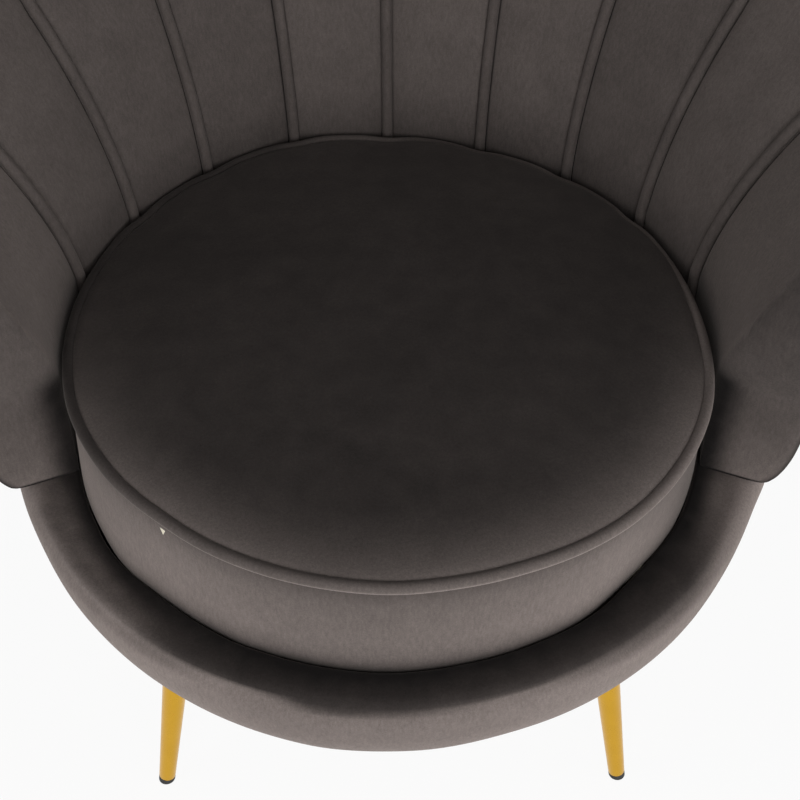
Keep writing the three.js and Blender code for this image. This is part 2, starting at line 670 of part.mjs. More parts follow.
function channelFoam(index) {
  const inset = VELVET + LAYER_FIT;
  const columns = channelColumns(index, inset, FOAM_NOSE_SHARES);
  const first = columns[0];
  const last = columns.at(-1);
  const middle = (first + last) / 2;
  const isSide = (u) => u === first || u === last;
  const apart = columns.map((u) => (isSide(u) ? u + Math.sign(middle - u) * FOAM_SIDE_SHARE : u));
  const rows = (u) => rowsAt(u, inset, FOAM_ROLL_SHARES).slice(1);
  const back = (u, z) => middleRadius(u, z) - GAP;
  return slab(facePoints(apart, frontFace(inset), rows), facePoints(apart, back, rows));
}

const FRAME_ROLL_SHARES = [0]; // the shell ends square at the top
const RAIL_NOSE_SHARES = [1]; // and the rail at its ends

function backShell() {
  const columns = allColumns(FRAME_INSET, FOAM_NOSE_SHARES);
  const rows = (u) => rowsAt(u, FRAME_INSET, FRAME_ROLL_SHARES);
  const front = (u, z) => middleRadius(u, z) + GAP;
  return slab(facePoints(columns, front, rows), facePoints(columns, backFace(VELVET + LAYER_FIT), rows));
}

function backRail() {
  const columns = allColumns(FRAME_INSET, RAIL_NOSE_SHARES);
  const rows = () => [BACK_Z, BACK_Z + RAIL_HEIGHT];
  const back = (u, z) => middleRadius(u, z) - GAP;
  const holes = BOLT_ANGLES.map((angle) => {
    const low = polar(BOLT_RING_RADIUS, angle, BACK_Z - OVERRUN);
    const high = low.clone().setZ(BACK_Z + BOLT_DEPTH + GAP);
    return cylinder(BOLT_RADIUS + HOLE_FIT, low, high, HOLE_FACETS);
  });
  return cut(slab(facePoints(columns, () => RAIL_RADIUS, rows), facePoints(columns, back, rows)), holes);
}

const PIPING_ROLL_SHARES = [0.62, 0.34, 0.14];

// The cord in a seam: it follows the cover, and rides higher over the rounded edge
function backPiping(u) {
  const rows = rowsAt(u, 0, PIPING_ROLL_SHARES);
  const face = frontFace(0);
  const points = rows.map((z, k) => {
    const slope = (face(u, z + GAP) - face(u, z - GAP)) / (2 * GAP);
    const away = new THREE.Vector2(-1, slope).normalize();
    const nearEdge = Math.max(0, k - FIELD_SHARES.length) / (rows.length - 1 - FIELD_SHARES.length);
    const lift = BACK_PIPING + PIPING_LIFT + (PIPING_LIFT_AT_EDGE - PIPING_LIFT) * nearEdge;
    return polar(face(u, z) + lift * away.x, azimuth(u, z), z + lift * away.y);
  });
  return cord(points, BACK_PIPING, polar(1, azimuth(u, BACK_Z), 0));
}

function boltGeometry() {
  const length = RIM_Z + GAP + BOLT_DEPTH - TOP_RING_Z;
  return turned(
    [
      at(0, -BOLT_HEAD_HEIGHT - GAP),
      at(BOLT_HEAD_RADIUS, -BOLT_HEAD_HEIGHT - GAP),
      at(BOLT_HEAD_RADIUS, -GAP),
      at(BOLT_RADIUS, -GAP),
      at(BOLT_RADIUS, length),
      at(0, length),
    ],
    HOLE_FACETS,
  );
}

function buildBack() {
  put(seat, "inside_back_cover", coverSlab(frontFace), velvet);
  put(seat, "outside_back_cover", coverSlab(backFace), velvet);
  put(seat, "back_wooden_shell", backShell(), plywood);
  put(seat, "back_bottom_rail", backRail(), plywood);
  for (let k = 0; k < CHANNELS; k++) {
    put(seat, `channel_foam_${k + 1}`, channelFoam(k), foam);
  }
  for (let k = 1; k < CHANNELS; k++) {
    put(seat, `back_piping_${k}`, backPiping(k - HALF), pipingVelvet);
  }
  BOLT_ANGLES.forEach((angle, k) => {
    const bolt = put(seat, `back_bolt_${k + 1}`, boltGeometry(), steel);
    bolt.position.copy(polar(BOLT_RING_RADIUS, angle, TOP_RING_Z));
  });
}

// Seat cushion

const CROWN_SHARES = [0.97, 0.88, 0.7, 0.4]; // of the top panel's radius
const CUSHION_CROWN_POWER = 4;

// Outline from the axis at the bottom, round the band to the axis at the top
function cushionOutline(inset) {
  const radius = CUSHION_RADIUS - inset;
  const bed = CUSHION_PIPING + GAP; // half the bed of the piping
  const notch = radius - bed;
  const low = DECK_Z + GAP + inset;
  const panel = TOP_PIPING_Z + CUSHION_PIPING / 2 - inset;
  return [
    at(0, low),
    at(notch, low),
    at(notch, LOW_PIPING_Z + bed + inset),
    at(radius, LOW_PIPING_Z + 3 * bed),
    at(radius, TOP_PIPING_Z - 3 * bed),
    at(notch, TOP_PIPING_Z - bed - inset),
    at(notch, panel),
    ...CROWN_SHARES.map((s) => at(s * notch, panel + CUSHION_CROWN * (1 - s ** CUSHION_CROWN_POWER))),
    at(0, panel + CUSHION_CROWN),
  ];
}

const zipZ = (LOW_PIPING_Z + TOP_PIPING_Z) / 2;
const zipFace = CUSHION_RADIUS - VELVET; // radius of the tape's back
const zipSteps = Math.round((ROUND_FACETS * ZIP_ARC) / (2 * Math.PI)); // one to a facet of the band

function zipChain() {
  const tape = zipFace + ZIP_TAPE;
  const coil = tape + ZIP_COIL_THICK;
  const half = ZIP_SLOT / 2 - GAP;
  const section = [
    at(zipFace, zipZ - half),
    at(tape, zipZ - half),
    at(tape, zipZ - ZIP_COIL_WIDTH / 2),
    at(coil, zipZ - ZIP_COIL_WIDTH / 2),
    at(coil, zipZ + ZIP_COIL_WIDTH / 2),
    at(tape, zipZ + ZIP_COIL_WIDTH / 2),
    at(tape, zipZ + half),
    at(zipFace, zipZ + half),
  ];
  const reach = ZIP_ARC / 2 - GAP / CUSHION_RADIUS;
  return arcBar(section, -reach, reach, zipSteps);
}

function zipSlider() {
  const tape = zipFace + ZIP_TAPE + SLIDER_CLEARANCE;
  const inside = zipFace + ZIP_TAPE + ZIP_COIL_THICK + SLIDER_CLEARANCE;
  const slot = ZIP_COIL_WIDTH / 2 + SLIDER_CLEARANCE;
  const half = SLIDER_WIDTH / 2;
  const section = [
    at(tape, zipZ - half),
    at(inside + SLIDER_WALL, zipZ - half + SLIDER_WALL),
    at(inside + SLIDER_WALL, zipZ + half - SLIDER_WALL),
    at(tape, zipZ + half),
    at(tape, zipZ + slot),
    at(inside, zipZ + slot),
    at(inside, zipZ - slot),
    at(tape, zipZ - slot),
  ];
  const reach = SLIDER_LENGTH / CUSHION_RADIUS / 2;
  return arcBar(section, SLIDER_PARK - reach, SLIDER_PARK + reach, SLIDER_STEPS);
}

function buildCushion() {
  const outside = toSolid(turned(cushionOutline(0)));
  const inside = toSolid(turned(cushionOutline(VELVET)));
  const opening = oblong(CUSHION_RADIUS - OVERRUN, CUSHION_RADIUS + OVERRUN, zipZ - ZIP_SLOT / 2, ZIP_SLOT);
  const slot = arcBar(opening, -ZIP_ARC / 2, ZIP_ARC / 2, zipSteps);
  put(seat, "cushion_cover", fromSolid(outside.subtract(inside).subtract(toSolid(slot))), velvet);
  put(seat, "cushion_foam", turned(cushionOutline(VELVET + GAP)), foam);
  const pipings = { cushion_piping_top: TOP_PIPING_Z, cushion_piping_bottom: LOW_PIPING_Z };
  for (const [name, z] of Object.entries(pipings)) {
    const piping = new THREE.TorusGeometry(CUSHION_RADIUS, CUSHION_PIPING, CORD_FACETS, ROUND_FACETS);
    put(seat, name, piping.translate(0, 0, z), pipingVelvet);
  }
  put(seat, "zip_chain", zipChain(), blackCloth);
  put(seat, "zip_slider", zipSlider(), steel);
}

buildBase();
buildLegs();
buildBack();
buildCushion();

// The chair stands with the middle of its outline over the origin
const outline = new THREE.Box3().setFromObject(chair);
chair.position.y = -(outline.min.y + outline.max.y) / 2;

export default chair;
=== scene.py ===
"""A scallop back chair in dark velvet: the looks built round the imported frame. Units are metres."""

import json
import math

import bmesh
import bpy
import numpy as np
from mathutils import Euler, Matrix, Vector, noise


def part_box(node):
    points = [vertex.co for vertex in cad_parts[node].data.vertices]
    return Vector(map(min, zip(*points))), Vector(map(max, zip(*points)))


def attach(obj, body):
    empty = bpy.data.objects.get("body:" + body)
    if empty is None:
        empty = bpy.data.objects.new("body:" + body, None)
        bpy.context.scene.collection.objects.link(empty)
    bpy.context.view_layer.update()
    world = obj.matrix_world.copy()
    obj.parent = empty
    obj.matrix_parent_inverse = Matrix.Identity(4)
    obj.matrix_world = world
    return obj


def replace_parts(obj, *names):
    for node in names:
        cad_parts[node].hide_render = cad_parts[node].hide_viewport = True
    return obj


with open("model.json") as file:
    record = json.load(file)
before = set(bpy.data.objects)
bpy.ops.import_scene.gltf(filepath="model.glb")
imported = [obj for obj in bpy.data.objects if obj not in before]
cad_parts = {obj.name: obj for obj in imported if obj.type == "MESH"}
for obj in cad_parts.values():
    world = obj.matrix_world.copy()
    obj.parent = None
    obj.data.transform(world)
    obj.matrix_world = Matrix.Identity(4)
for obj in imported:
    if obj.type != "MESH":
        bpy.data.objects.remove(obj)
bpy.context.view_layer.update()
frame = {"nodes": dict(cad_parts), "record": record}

MM = 0.001
FRAME_BODY = "chair_frame"
CUSHION_BODY = "seat_cushion"
SLIDER_BODY = "zip_slider"


def middle_of(node):
    return [(low + high) / 2 for low, high in zip(*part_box(node))]


def levels(node):
    """Height of a node's underside and of its top."""
    return [corner[2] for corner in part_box(node)]


AXIS_Y = middle_of("cushion_piping_top")[1]  # the cushion's axis, which the back is drawn about
BASE_Y = middle_of("base_top_ring")[1]  # the base's axis
UNDER_Z, RIM_Z = levels("base_cover")

# Camera, solved from the round cushion
CAMERA_OFFSET = Vector((9.4 * MM, -876.05 * MM, 0))
CAMERA_HEIGHT = 1260 * MM
CAMERA_PITCH = math.radians(45.98)
CAMERA_TURN = math.radians(-0.6)  # round the cushion's axis: the chair stands a little askew in the view
CAMERA_LENS = 64.62
CAMERA_SENSOR = 36.0


def make_camera():
    data = bpy.data.cameras.new("camera")
    data.lens = CAMERA_LENS
    data.sensor_width = CAMERA_SENSOR
    camera = bpy.data.objects.new("camera", data)
    offset = CAMERA_OFFSET.copy()
    offset.rotate(Euler((0, 0, CAMERA_TURN)))
    camera.location = offset + Vector((0, AXIS_Y, CAMERA_HEIGHT))
    camera.rotation_euler = (math.pi / 2 - CAMERA_PITCH, 0, CAMERA_TURN)
    bpy.context.collection.objects.link(camera)
    bpy.context.scene.camera = camera


make_camera()


# Curves and shares
TRACE_STEP = 0.5  # degrees
SEED_STEP = (3.1, 5.7, 7.3)


def smooth_step(x, low, high):
    t = np.clip((x - low) / (high - low), 0, 1)
    return t * t * (3 - 2 * t)


def fade(x, low, high):
    return 1 - smooth_step(x, low, high)


def bell(x, width):
    return np.exp(-((x / width) ** 2))


def hollow(x):
    """How far a quarter circle has still to come out: 1 at 0, and 0 at 1."""
    return 1 - np.sqrt(1 - (1 - x) ** 2)


def shares(count):
    return np.linspace(0, 1, count + 1)


def all_round(count, start=-math.pi):
    return np.linspace(start, start + 2 * math.pi, count, endpoint=False)


def unit(vectors):
    return vectors / np.maximum(np.linalg.norm(vectors, axis=-1, keepdims=True), 1e-12)


def polar(radius, angle, z, y=AXIS_Y):
    """Points at an angle from the back round the cushion's axis, or round another at y."""
    return np.stack([radius * np.sin(angle), y + radius * np.cos(angle), z + 0 * angle], axis=-1)


def around(points):
    """Radius and angle of points round the cushion's axis."""
    x, y = points[..., 0], points[..., 1] - AXIS_Y
    return np.hypot(x, y), np.arctan2(x, y)


def traced(table, blur=math.radians(4)):
    """A smooth closed curve through {degrees from the back: value}, as a function of the angle."""
    fine = np.radians(np.arange(0, 360, TRACE_STEP))
    values = np.interp(np.degrees(fine), list(table), list(table.values()), period=360)
    weights = bell(np.minimum(fine, 2 * math.pi - fine), blur)
    smooth = np.real(np.fft.ifft(np.fft.fft(values) * np.fft.fft(weights / weights.sum())))
    return lambda angle: np.interp(np.mod(angle, 2 * math.pi), fine, smooth, period=2 * math.pi)


def by_table(x, table):
    return np.interp(x, *zip(*table))


def wander(points, scale, depth, seed):
    """Smooth noise at each point, about -1 to 1 times depth."""
    offset = Vector([seed * step for step in SEED_STEP])
    values = [noise.noise(Vector(p) / scale + offset) for p in points.reshape(-1, 3)]
    return depth * np.array(values).reshape(points.shape[:-1])


# Back: the same surface as the frame's, drawn finely
CHANNELS = 10
HALF = CHANNELS // 2
CHANNEL_ANGLE = math.radians(18.85)
END_CHANNEL_ANGLE = math.radians(28.9)
BACK_HEIGHT = 780 * MM
ARM_DROP = 152 * MM
SCALLOP = 22 * MM
SCALLOP_POWER = 2.2
CORNER_DROP = 72 * MM
SEAM_RADIUS = 281.5 * MM
CROWN = 9 * MM
CROWN_GAIN = 5 * MM
CROWN_FLATNESS = 3.2
CROWN_FULLNESS = 0.62
FLARE_REAR = 45 * MM
FLARE_ARM = 104 * MM
FLARE_POWER = 3.5
LEAN_START = 10 * MM
LEAN_SPAN = 210 * MM
LEAN_POWER = 1.9
LEAN_EASE = 0.8
FAN_RATE = math.radians(0.19)
FAN_SPAN = 100 * MM
OVERHANG = 16 * MM
OVERHANG_RISE = 46 * MM
EDGE_THICK = 29 * MM
OUTER_PACK = 14 * MM
EDGE_ROLL = 30 * MM
NOSE_ROLL = 20 * MM
NOSE_CORNER = 13 * MM
NOSE_SKEW = math.radians(1.2)
NOSE_FOOT_SHARE = 0.12
NOSE_RISE = 70 * MM
BASE_RADIUS = 330 * MM
SEAT_FORWARD = BASE_Y - AXIS_Y
TOP_PIPING_Z = middle_of("cushion_piping_top")[2]
LOW_PIPING_Z = middle_of("cushion_piping_bottom")[2]
BACK_Z = levels("inside_back_cover")[0]
END_WIDTH = END_CHANNEL_ANGLE * (SEAM_RADIUS + EDGE_THICK)


def azimuth(u, z):
    """Angle from the back of a place that lies u channels to the right of the middle."""
    n = np.abs(u)
    inner = HALF - 1
    base = np.minimum(n, inner) * CHANNEL_ANGLE + np.maximum(0, n - inner) * END_CHANNEL_ANGLE
    lean = FAN_RATE * n**2 * np.maximum(0, z - TOP_PIPING_Z) / FAN_SPAN
    return np.sign(u) * (base + lean)


def lean_at(z):
    t = (z - TOP_PIPING_Z + LEAN_START) / LEAN_SPAN
    return np.clip(t, 0, 1) ** LEAN_POWER + LEAN_POWER * LEAN_EASE * np.maximum(0, t - 1)


def seam_radius(u, z):
    flare = FLARE_REAR + (FLARE_ARM - FLARE_REAR) * (np.abs(u) / HALF) ** FLARE_POWER
    return SEAM_RADIUS + flare * lean_at(z)


def in_channel(u):
    n = np.abs(u)
    return np.where(n >= HALF, 1.0, n % 1)


def crest_z(u):
    return BACK_HEIGHT - ARM_DROP * (np.abs(u) / (HALF - 0.5)) ** 2


def edge_z(u):
    notch = SCALLOP * np.abs(2 * in_channel(u) - 1) ** SCALLOP_POWER
    corner = CORNER_DROP * np.maximum(0, 2 * (np.abs(u) - HALF) + 1) ** 3
    return crest_z(u) - notch - corner


def rise(u, z):
    return np.maximum(0, z - BACK_Z) / (crest_z(u) - BACK_Z)


def outer_radius(u, z):
    angle = azimuth(u, z)
    drum = SEAT_FORWARD * np.cos(angle) + np.sqrt(BASE_RADIUS**2 - (SEAT_FORWARD * np.sin(angle)) ** 2)
    top = seam_radius(u, crest_z(u)) + EDGE_THICK
    drawn_in = OVERHANG * hollow(np.clip((z - BACK_Z) / OVERHANG_RISE, 0, 1))
    return drum + OVERHANG - drawn_in + (top - drum - OVERHANG) * rise(u, z)


def middle_radius(u, z):
    return outer_radius(u, z) - OUTER_PACK


def crown_at(u, z):
    x = np.where(np.abs(u) > HALF - 0.5, 0.5, in_channel(u))
    bulge = (1 - np.abs(2 * x - 1) ** CROWN_FLATNESS) ** CROWN_FULLNESS
    return (CROWN + CROWN_GAIN * rise(u, z) ** 2) * bulge


def roundness(u, z, full_nose):
    up = np.clip((z - BACK_Z) / NOSE_RISE, 0, 1)
    nose = full_nose * (NOSE_FOOT_SHARE + (1 - NOSE_FOOT_SHARE) * up)
    top = np.clip(1 - (edge_z(u) - z) / EDGE_ROLL, 0, 1)
    end = np.clip(1 - (HALF - np.abs(u)) * END_WIDTH / nose, 0, 1)
    return np.sqrt(1 - top**2) * np.cbrt(1 - end**3)


def front_radius(u, z):
    middle = middle_radius(u, z)
    return middle - (middle - seam_radius(u, z) + crown_at(u, z)) * roundness(u, z, NOSE_ROLL)


def back_radius(u, z):
    middle = middle_radius(u, z)
    return middle + (outer_radius(u, z) - middle) * roundness(u, z, NOSE_CORNER)


def on_back(u, z, radius):
    """A point of the back: the arms' front ends turn a little with the radius."""
    out = (radius - SEAM_RADIUS) / (BASE_RADIUS - SEAM_RADIUS)
    skew = np.sign(u) * NOSE_SKEW * np.maximum(0, np.abs(u) - HALF + 1) * out
    return polar(radius, azimuth(u, z) + skew, z)


# Materials
NOISE_SPAN = (0.3, 0.7)  # most of the noise lies between these
WAVE_LENGTH = math.pi / 10  # of the wave texture at a scale of one, in metres


class Nodes:
    """The nodes of a material or of the world, its main shader, and short ways to add to them."""

    def __init__(self, owner, shader="Principled BSDF"):
        owner.use_nodes = True
        self.owner = owner
        self.tree = owner.node_tree
        self.shader = self.tree.nodes[shader]

    def feed(self, socket, value):
        if isinstance(value, bpy.types.NodeSocket):
            self.tree.links.new(value, socket)
        else:
            socket.default_value = value

    def add(self, kind, inputs=None, **values):
        node = self.tree.nodes.new(kind)
        for key, value in values.items():
            setattr(node, key, value)
        for key, value in (inputs or {}).items():
            self.feed(node.inputs[key], value)
        return node

    def set(self, **values):
        """Sets or links inputs of the main shader, and gives back the material or world."""
        for key, value in values.items():
            self.feed(self.shader.inputs[key.replace("_", " ")], value)
        return self.owner

    def place(self):
        return self.add("ShaderNodeTexCoord").outputs["Object"]

    def stretched(self, vector, scale):
        return self.add("ShaderNodeMapping", {"Vector": vector, "Scale": scale}).outputs[0]

    def noise(self, vector, scale, detail, roughness, distortion=0.0):
        inputs = {"Vector": vector, "Scale": scale, "Detail": detail, "Roughness": roughness}
        return self.add("ShaderNodeTexNoise", inputs | {"Distortion": distortion}).outputs["Fac"]

    def waves(self, vector, length, direction, distortion=0.0):
        inputs = {"Vector": vector, "Scale": WAVE_LENGTH / length, "Distortion": distortion}
        node = self.add("ShaderNodeTexWave", inputs, wave_type="BANDS", bands_direction=direction)
        return node.outputs["Fac"]

    def remap(self, value, low, high, to_low, to_high):
        inputs = {"Value": value, "From Min": low, "From Max": high, "To Min": to_low, "To Max": to_high}
        return self.add("ShaderNodeMapRange", inputs).outputs["Result"]

    def spread(self, value, to_low, to_high):
        return self.remap(value, *NOISE_SPAN, to_low, to_high)

    def mix(self, factor, a, b, blend="MIX"):
        node = self.add("ShaderNodeMix", {0: factor, 6: a, 7: b}, data_type="RGBA", blend_type=blend)
        return node.outputs[2]

    def math(self, operation, a, b):
        return self.add("ShaderNodeMath", {0: a, 1: b}, operation=operation).outputs[0]

    def weigh(self, a, share_a, b, share_b):
        return self.math("ADD", self.math("MULTIPLY", a, share_a), self.math("MULTIPLY", b, share_b))

    def bump(self, height, strength, distance):
        inputs = {"Strength": strength, "Distance": distance, "Height": height}
        return self.add("ShaderNodeBump", inputs).outputs["Normal"]

    def seen(self):
        """1 where the camera or a glossy surface looks, 0 for the light that falls on the chair."""
        path = self.add("ShaderNodeLightPath").outputs
        return self.math("ADD", path["Is Camera Ray"], path["Is Glossy Ray"])


def new_finish(name):
    return Nodes(bpy.data.materials.new(name))


def linear(red, green, blue):
    """A colour given as it shows on a screen, 0 to 255, with all of its channels above 10."""
    return (*(((c / 255 + 0.055) / 1.055) ** 2.4 for c in (red, green, blue)), 1)


DEEP_SHADE_NAP = -0.09  # the nap at which the velvet is at its darkest, used for painted shade in creases and crevices
VELVET_DEEP = linear(20, 18, 18)
VELVET_LIGHT = linear(158, 146, 141)
VELVET_SHEEN = linear(214, 204, 198)
BRUSHED_PATCHES = (7, 3, 0.55, 0.6)  # noise: scale, detail, roughness and distortion
BRUSHED_STREAKS = (42, 2, 0.5, 0.3)
PILE_STRANDS = (420, 3, 0.6)
PILE_SPECKS = (900, 2, 0.6)
PILE_GRAIN = (1400, 2, 0.6)
PILE_CLUMPS = (420, 2, 0.5)
PATCH_CONTRAST = 0.03
STREAK_CONTRAST = 0.02
PILE_CONTRAST = 0.12
PILE_STRETCH = 0.3  # strands of pile run upright
PILE_DEPTH = 0.6 * MM
GRAIN_DEPTH = 0.3 * MM
GOLD_LIGHT = linear(214, 166, 44)
GOLD_DEEP = linear(198, 150, 32)
GOLD_CLOUDS = (30, 3, 0.5)
GOLD_RUBS = (160, 3, 0.6)
GOLD_DENTS = (500, 2, 0.5)
PLAIN_GRAIN = (4, 0.6)  # detail and roughness
CLOTH_WEAR = (60, 3, 0.6)
THREAD_WAVER = 0.6
WEAVE_DEPTH = 0.3  # of the distance between threads
WOOD_GRAIN = (90, 4, 0.6, 0.4)
WOOD_STRETCH = 0.08


def velvet():
    """Short cut pile: dark face on, with brushed patches, fine pile grain and a soft sheen at the edges; its
    colour follows the nap attribute, which carries painted light and shade as well as the nap.
    """
    n = new_finish("velvet")
    place = n.place()
    nap_and_painted_light = n.add("ShaderNodeAttribute", attribute_name="nap_and_painted_light").outputs["Fac"]
    patches = n.spread(n.noise(place, *BRUSHED_PATCHES), -PATCH_CONTRAST, PATCH_CONTRAST)
    streaks = n.spread(n.noise(place, *BRUSHED_STREAKS), -STREAK_CONTRAST, STREAK_CONTRAST)
    tone = n.math("ADD", n.math("ADD", nap_and_painted_light, patches), streaks)
    colour = n.mix(n.remap(tone, DEEP_SHADE_NAP, 1, 0, 1), VELVET_DEEP, VELVET_LIGHT)
    contrast = (1 - PILE_CONTRAST, 1 + PILE_CONTRAST)
    strands = n.spread(n.noise(n.stretched(place, (1, 1, PILE_STRETCH)), *PILE_STRANDS), *contrast)
    shade = n.math("MULTIPLY", strands, n.spread(n.noise(place, *PILE_SPECKS), *contrast))
    grey = n.add("ShaderNodeCombineColor", {0: shade, 1: shade, 2: shade}).outputs[0]
    pile = n.math("ADD", n.math("MULTIPLY", n.noise(place, *PILE_GRAIN), 0.6), n.noise(place, *PILE_CLUMPS))
    n.set(Base_Color=n.mix(1.0, colour, grey, "MULTIPLY"))
    n.set(Normal=n.bump(pile, strength=0.35, distance=PILE_DEPTH))
    n.set(Roughness=0.92, Sheen_Weight=0.2, Sheen_Roughness=0.42, Specular_IOR_Level=0.15)
    return n.set(Sheen_Tint=VELVET_SHEEN)


def metal_gold():
    n = new_finish("gold_metal")
    place = n.place()
    n.set(Base_Color=n.mix(n.noise(place, *GOLD_CLOUDS), GOLD_LIGHT, GOLD_DEEP))
    n.set(Roughness=n.spread(n.noise(place, *GOLD_RUBS), 0.26, 0.36))
    n.set(Normal=n.bump(n.noise(place, *GOLD_DENTS), strength=0.04, distance=GRAIN_DEPTH))
    return n.set(Metallic=1.0, Coat_Weight=0.15, Coat_Roughness=0.2)


def plain(name, dark, light, scale, rough, depth=0.4 * MM, metallic=0.0):
    """A finish with grain of one scale in its colour, roughness and surface."""
    n = new_finish(name)
    grain = n.noise(n.place(), scale, *PLAIN_GRAIN)
    n.set(Base_Color=n.mix(grain, dark, light), Roughness=n.spread(grain, rough - 0.06, rough + 0.06))
    return n.set(Normal=n.bump(grain, strength=0.5, distance=depth), Metallic=metallic)


def woven(name, dark, light, threads, rough):
    """Cloth of crossing threads, this far apart."""
    n = new_finish(name)
    place = n.place()
    warp, weft = (n.waves(place, threads, side, THREAD_WAVER) for side in "XY")
    weave = n.math("MULTIPLY", n.math("ADD", warp, weft), 0.5)
    uneven = n.weigh(n.noise(place, *CLOTH_WEAR), 0.5, weave, 0.5)
    n.set(Base_Color=n.mix(uneven, dark, light), Roughness=n.spread(uneven, rough - 0.05, rough + 0.03))
    return n.set(Normal=n.bump(weave, strength=0.5, distance=WEAVE_DEPTH * threads))


def plies(name, dark, light, thickness):
    """Plywood: grain along the sheet, and its layers to be seen on the edges."""
    n = new_finish(name)
    place = n.place()
    grain = n.noise(n.stretched(place, (1, WOOD_STRETCH, 1)), *WOOD_GRAIN)
    tone = n.weigh(grain, 0.7, n.waves(place, thickness, "Z"), 0.3)
    n.set(Base_Color=n.mix(tone, dark, light), Roughness=n.spread(grain, 0.62, 0.76))
    return n.set(Normal=n.bump(grain, strength=0.3, distance=GRAIN_DEPTH))


VELVET = velvet()
BLACK = linear(14, 14, 15)
FINISHES = {
    "velvet": VELVET,
    "piping": VELVET,
    "foam": plain("foam", linear(226, 218, 196), linear(240, 234, 216), 300, 0.95),
    "plywood": plies("plywood", linear(176, 136, 92), linear(216, 182, 136), 3 * MM),
    "webbing": woven("webbing", linear(112, 98, 72), linear(158, 142, 112), 2.4 * MM, 0.9),
    "black_cloth": woven("black_cloth", BLACK, linear(38, 38, 39), 1.6 * MM, 0.93),
    "gold_metal": metal_gold(),
    "steel": plain("steel", linear(150, 152, 155), linear(178, 180, 182), 200, 0.4, 0.1 * MM, 1.0),
    "black_plastic": plain("black_plastic", linear(14, 14, 14), linear(24, 24, 24), 400, 0.55, 0.1 * MM),
}
DECK_WEAVE = woven("deck_weave", BLACK, linear(42, 42, 43), 1.2 * MM, 0.93)
ZIP_CLOTH = plain("zip_cloth", linear(16, 16, 17), linear(30, 30, 31), 1200, 0.95)


def dress_frame():
    """The frame's own pieces take the finish of their slot."""
    slots = {part["node"]: part["material_slot"] for part in frame["record"]["subparts"]}
    for name, node in frame["nodes"].items():
        node.data.materials.clear()
        node.data.materials.append(FINISHES[slots[name]])


dress_frame()


# Mesh helpers
CRISP = math.radians(40)  # edges that turn more than this show as edges
PUFF_FRAMES = 20
PUFF_CAP = 22 * MM
PUFF_CLOTH = {
    "quality": 6,
    "mass": 0.3,
    "tension_stiffness": 15,
    "compression_stiffness": 15,
    "shear_stiffness": 7.5,
    "bending_stiffness": 0.8,
    "vertex_group_mass": "pinned",
    "use_pressure": True,
    "uniform_pressure_force": 4,
}


def turn_outwards(mesh):
    bm = bmesh.new()
    bm.from_mesh(mesh)
    bmesh.ops.recalc_face_normals(bm, faces=bm.faces)
    bm.to_mesh(mesh)
    bm.free()


def new_piece(name, slot, verts, faces, body=FRAME_BODY, finish=None, smooth=True, closed=True):
    """A piece that rides on a body, in its slot's finish; a closed one has its faces turned outwards."""
    mesh = bpy.data.meshes.new(name)
    mesh.from_pydata([tuple(v) for v in verts], [], [tuple(f) for f in faces])
    mesh.update()
    mesh.polygons.foreach_set("use_smooth", [smooth] * len(mesh.polygons))
    mesh.materials.append(finish or FINISHES[slot])
    if closed:
        turn_outwards(mesh)
    piece = bpy.data.objects.new(name, mesh)
    bpy.context.collection.objects.link(piece)
    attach(piece, body)
    return piece


def grid_faces(columns, rows, wrap_columns=False, wrap_rows=False):
    """Faces of points laid out column by column."""
    faces = []
    for i in range(columns if wrap_columns else columns - 1):
        a, b = i * rows, ((i + 1) % columns) * rows
        for j in range(rows if wrap_rows else rows - 1):
            k = (j + 1) % rows
            faces.append((a + j, b + j, b + k, a + k))
    return faces


def loft(name, slot, rings, body=FRAME_BODY, endless=False):
    """A closed piece through rings of points, which come round to the first or are capped at both ends."""
    columns, count = rings.shape[:2]
    faces = grid_faces(columns, count, wrap_columns=endless, wrap_rows=True)
    if not endless:
        last = (columns - 1) * count
        faces += [tuple(range(count)), tuple(range(last, last + count))]
    return new_piece(name, slot, rings.reshape(-1, 3), faces, body)


def cord(name, path, radius, across, body=FRAME_BODY, sides=14, endless=False):
    """A piping cord along a path; its first side lies towards across."""
    ahead = np.roll(path, -1, axis=0) - np.roll(path, 1, axis=0)
    if not endless:
        ahead[0], ahead[-1] = path[1] - path[0], path[-1] - path[-2]
    ahead = unit(ahead)
    side = unit(across - ahead * np.sum(across * ahead, axis=1, keepdims=True))
    up = np.cross(ahead, side)
    angle = all_round(sides, 0)[None, :, None]
    points = path[:, None] + radius * (side[:, None] * np.cos(angle) + up[:, None] * np.sin(angle))
    return loft(name, "piping", points, body, endless)


def read_vectors(items, name):
    values = np.empty(len(items) * 3, dtype=np.float32)
    items.foreach_get(name, values)
    return values.reshape(-1, 3)


def coordinates(mesh):
    return read_vectors(mesh.vertices, "co").astype(float)


def set_coordinates(mesh, points):
    mesh.vertices.foreach_set("co", np.asarray(points, dtype=np.float32).ravel())
    mesh.update()


def slopes(piece):
    """How far each point faces up, from 1 on a level top to 0 on an upright face."""
    return read_vectors(piece.data.vertex_normals, "vector")[:, 2]


def set_nap_and_painted_light(piece, nap_and_painted_light):
    """How far the pile is brushed up at each point, or everywhere, with painted light and shade mixed in: 0
    is dark, and 1 is light.
    """
    values = np.empty(len(piece.data.vertices), dtype=np.float32)
    values[:] = np.ravel(nap_and_painted_light)
    piece.data.attributes.new("nap_and_painted_light", "FLOAT", "POINT").data.foreach_set("value", values)


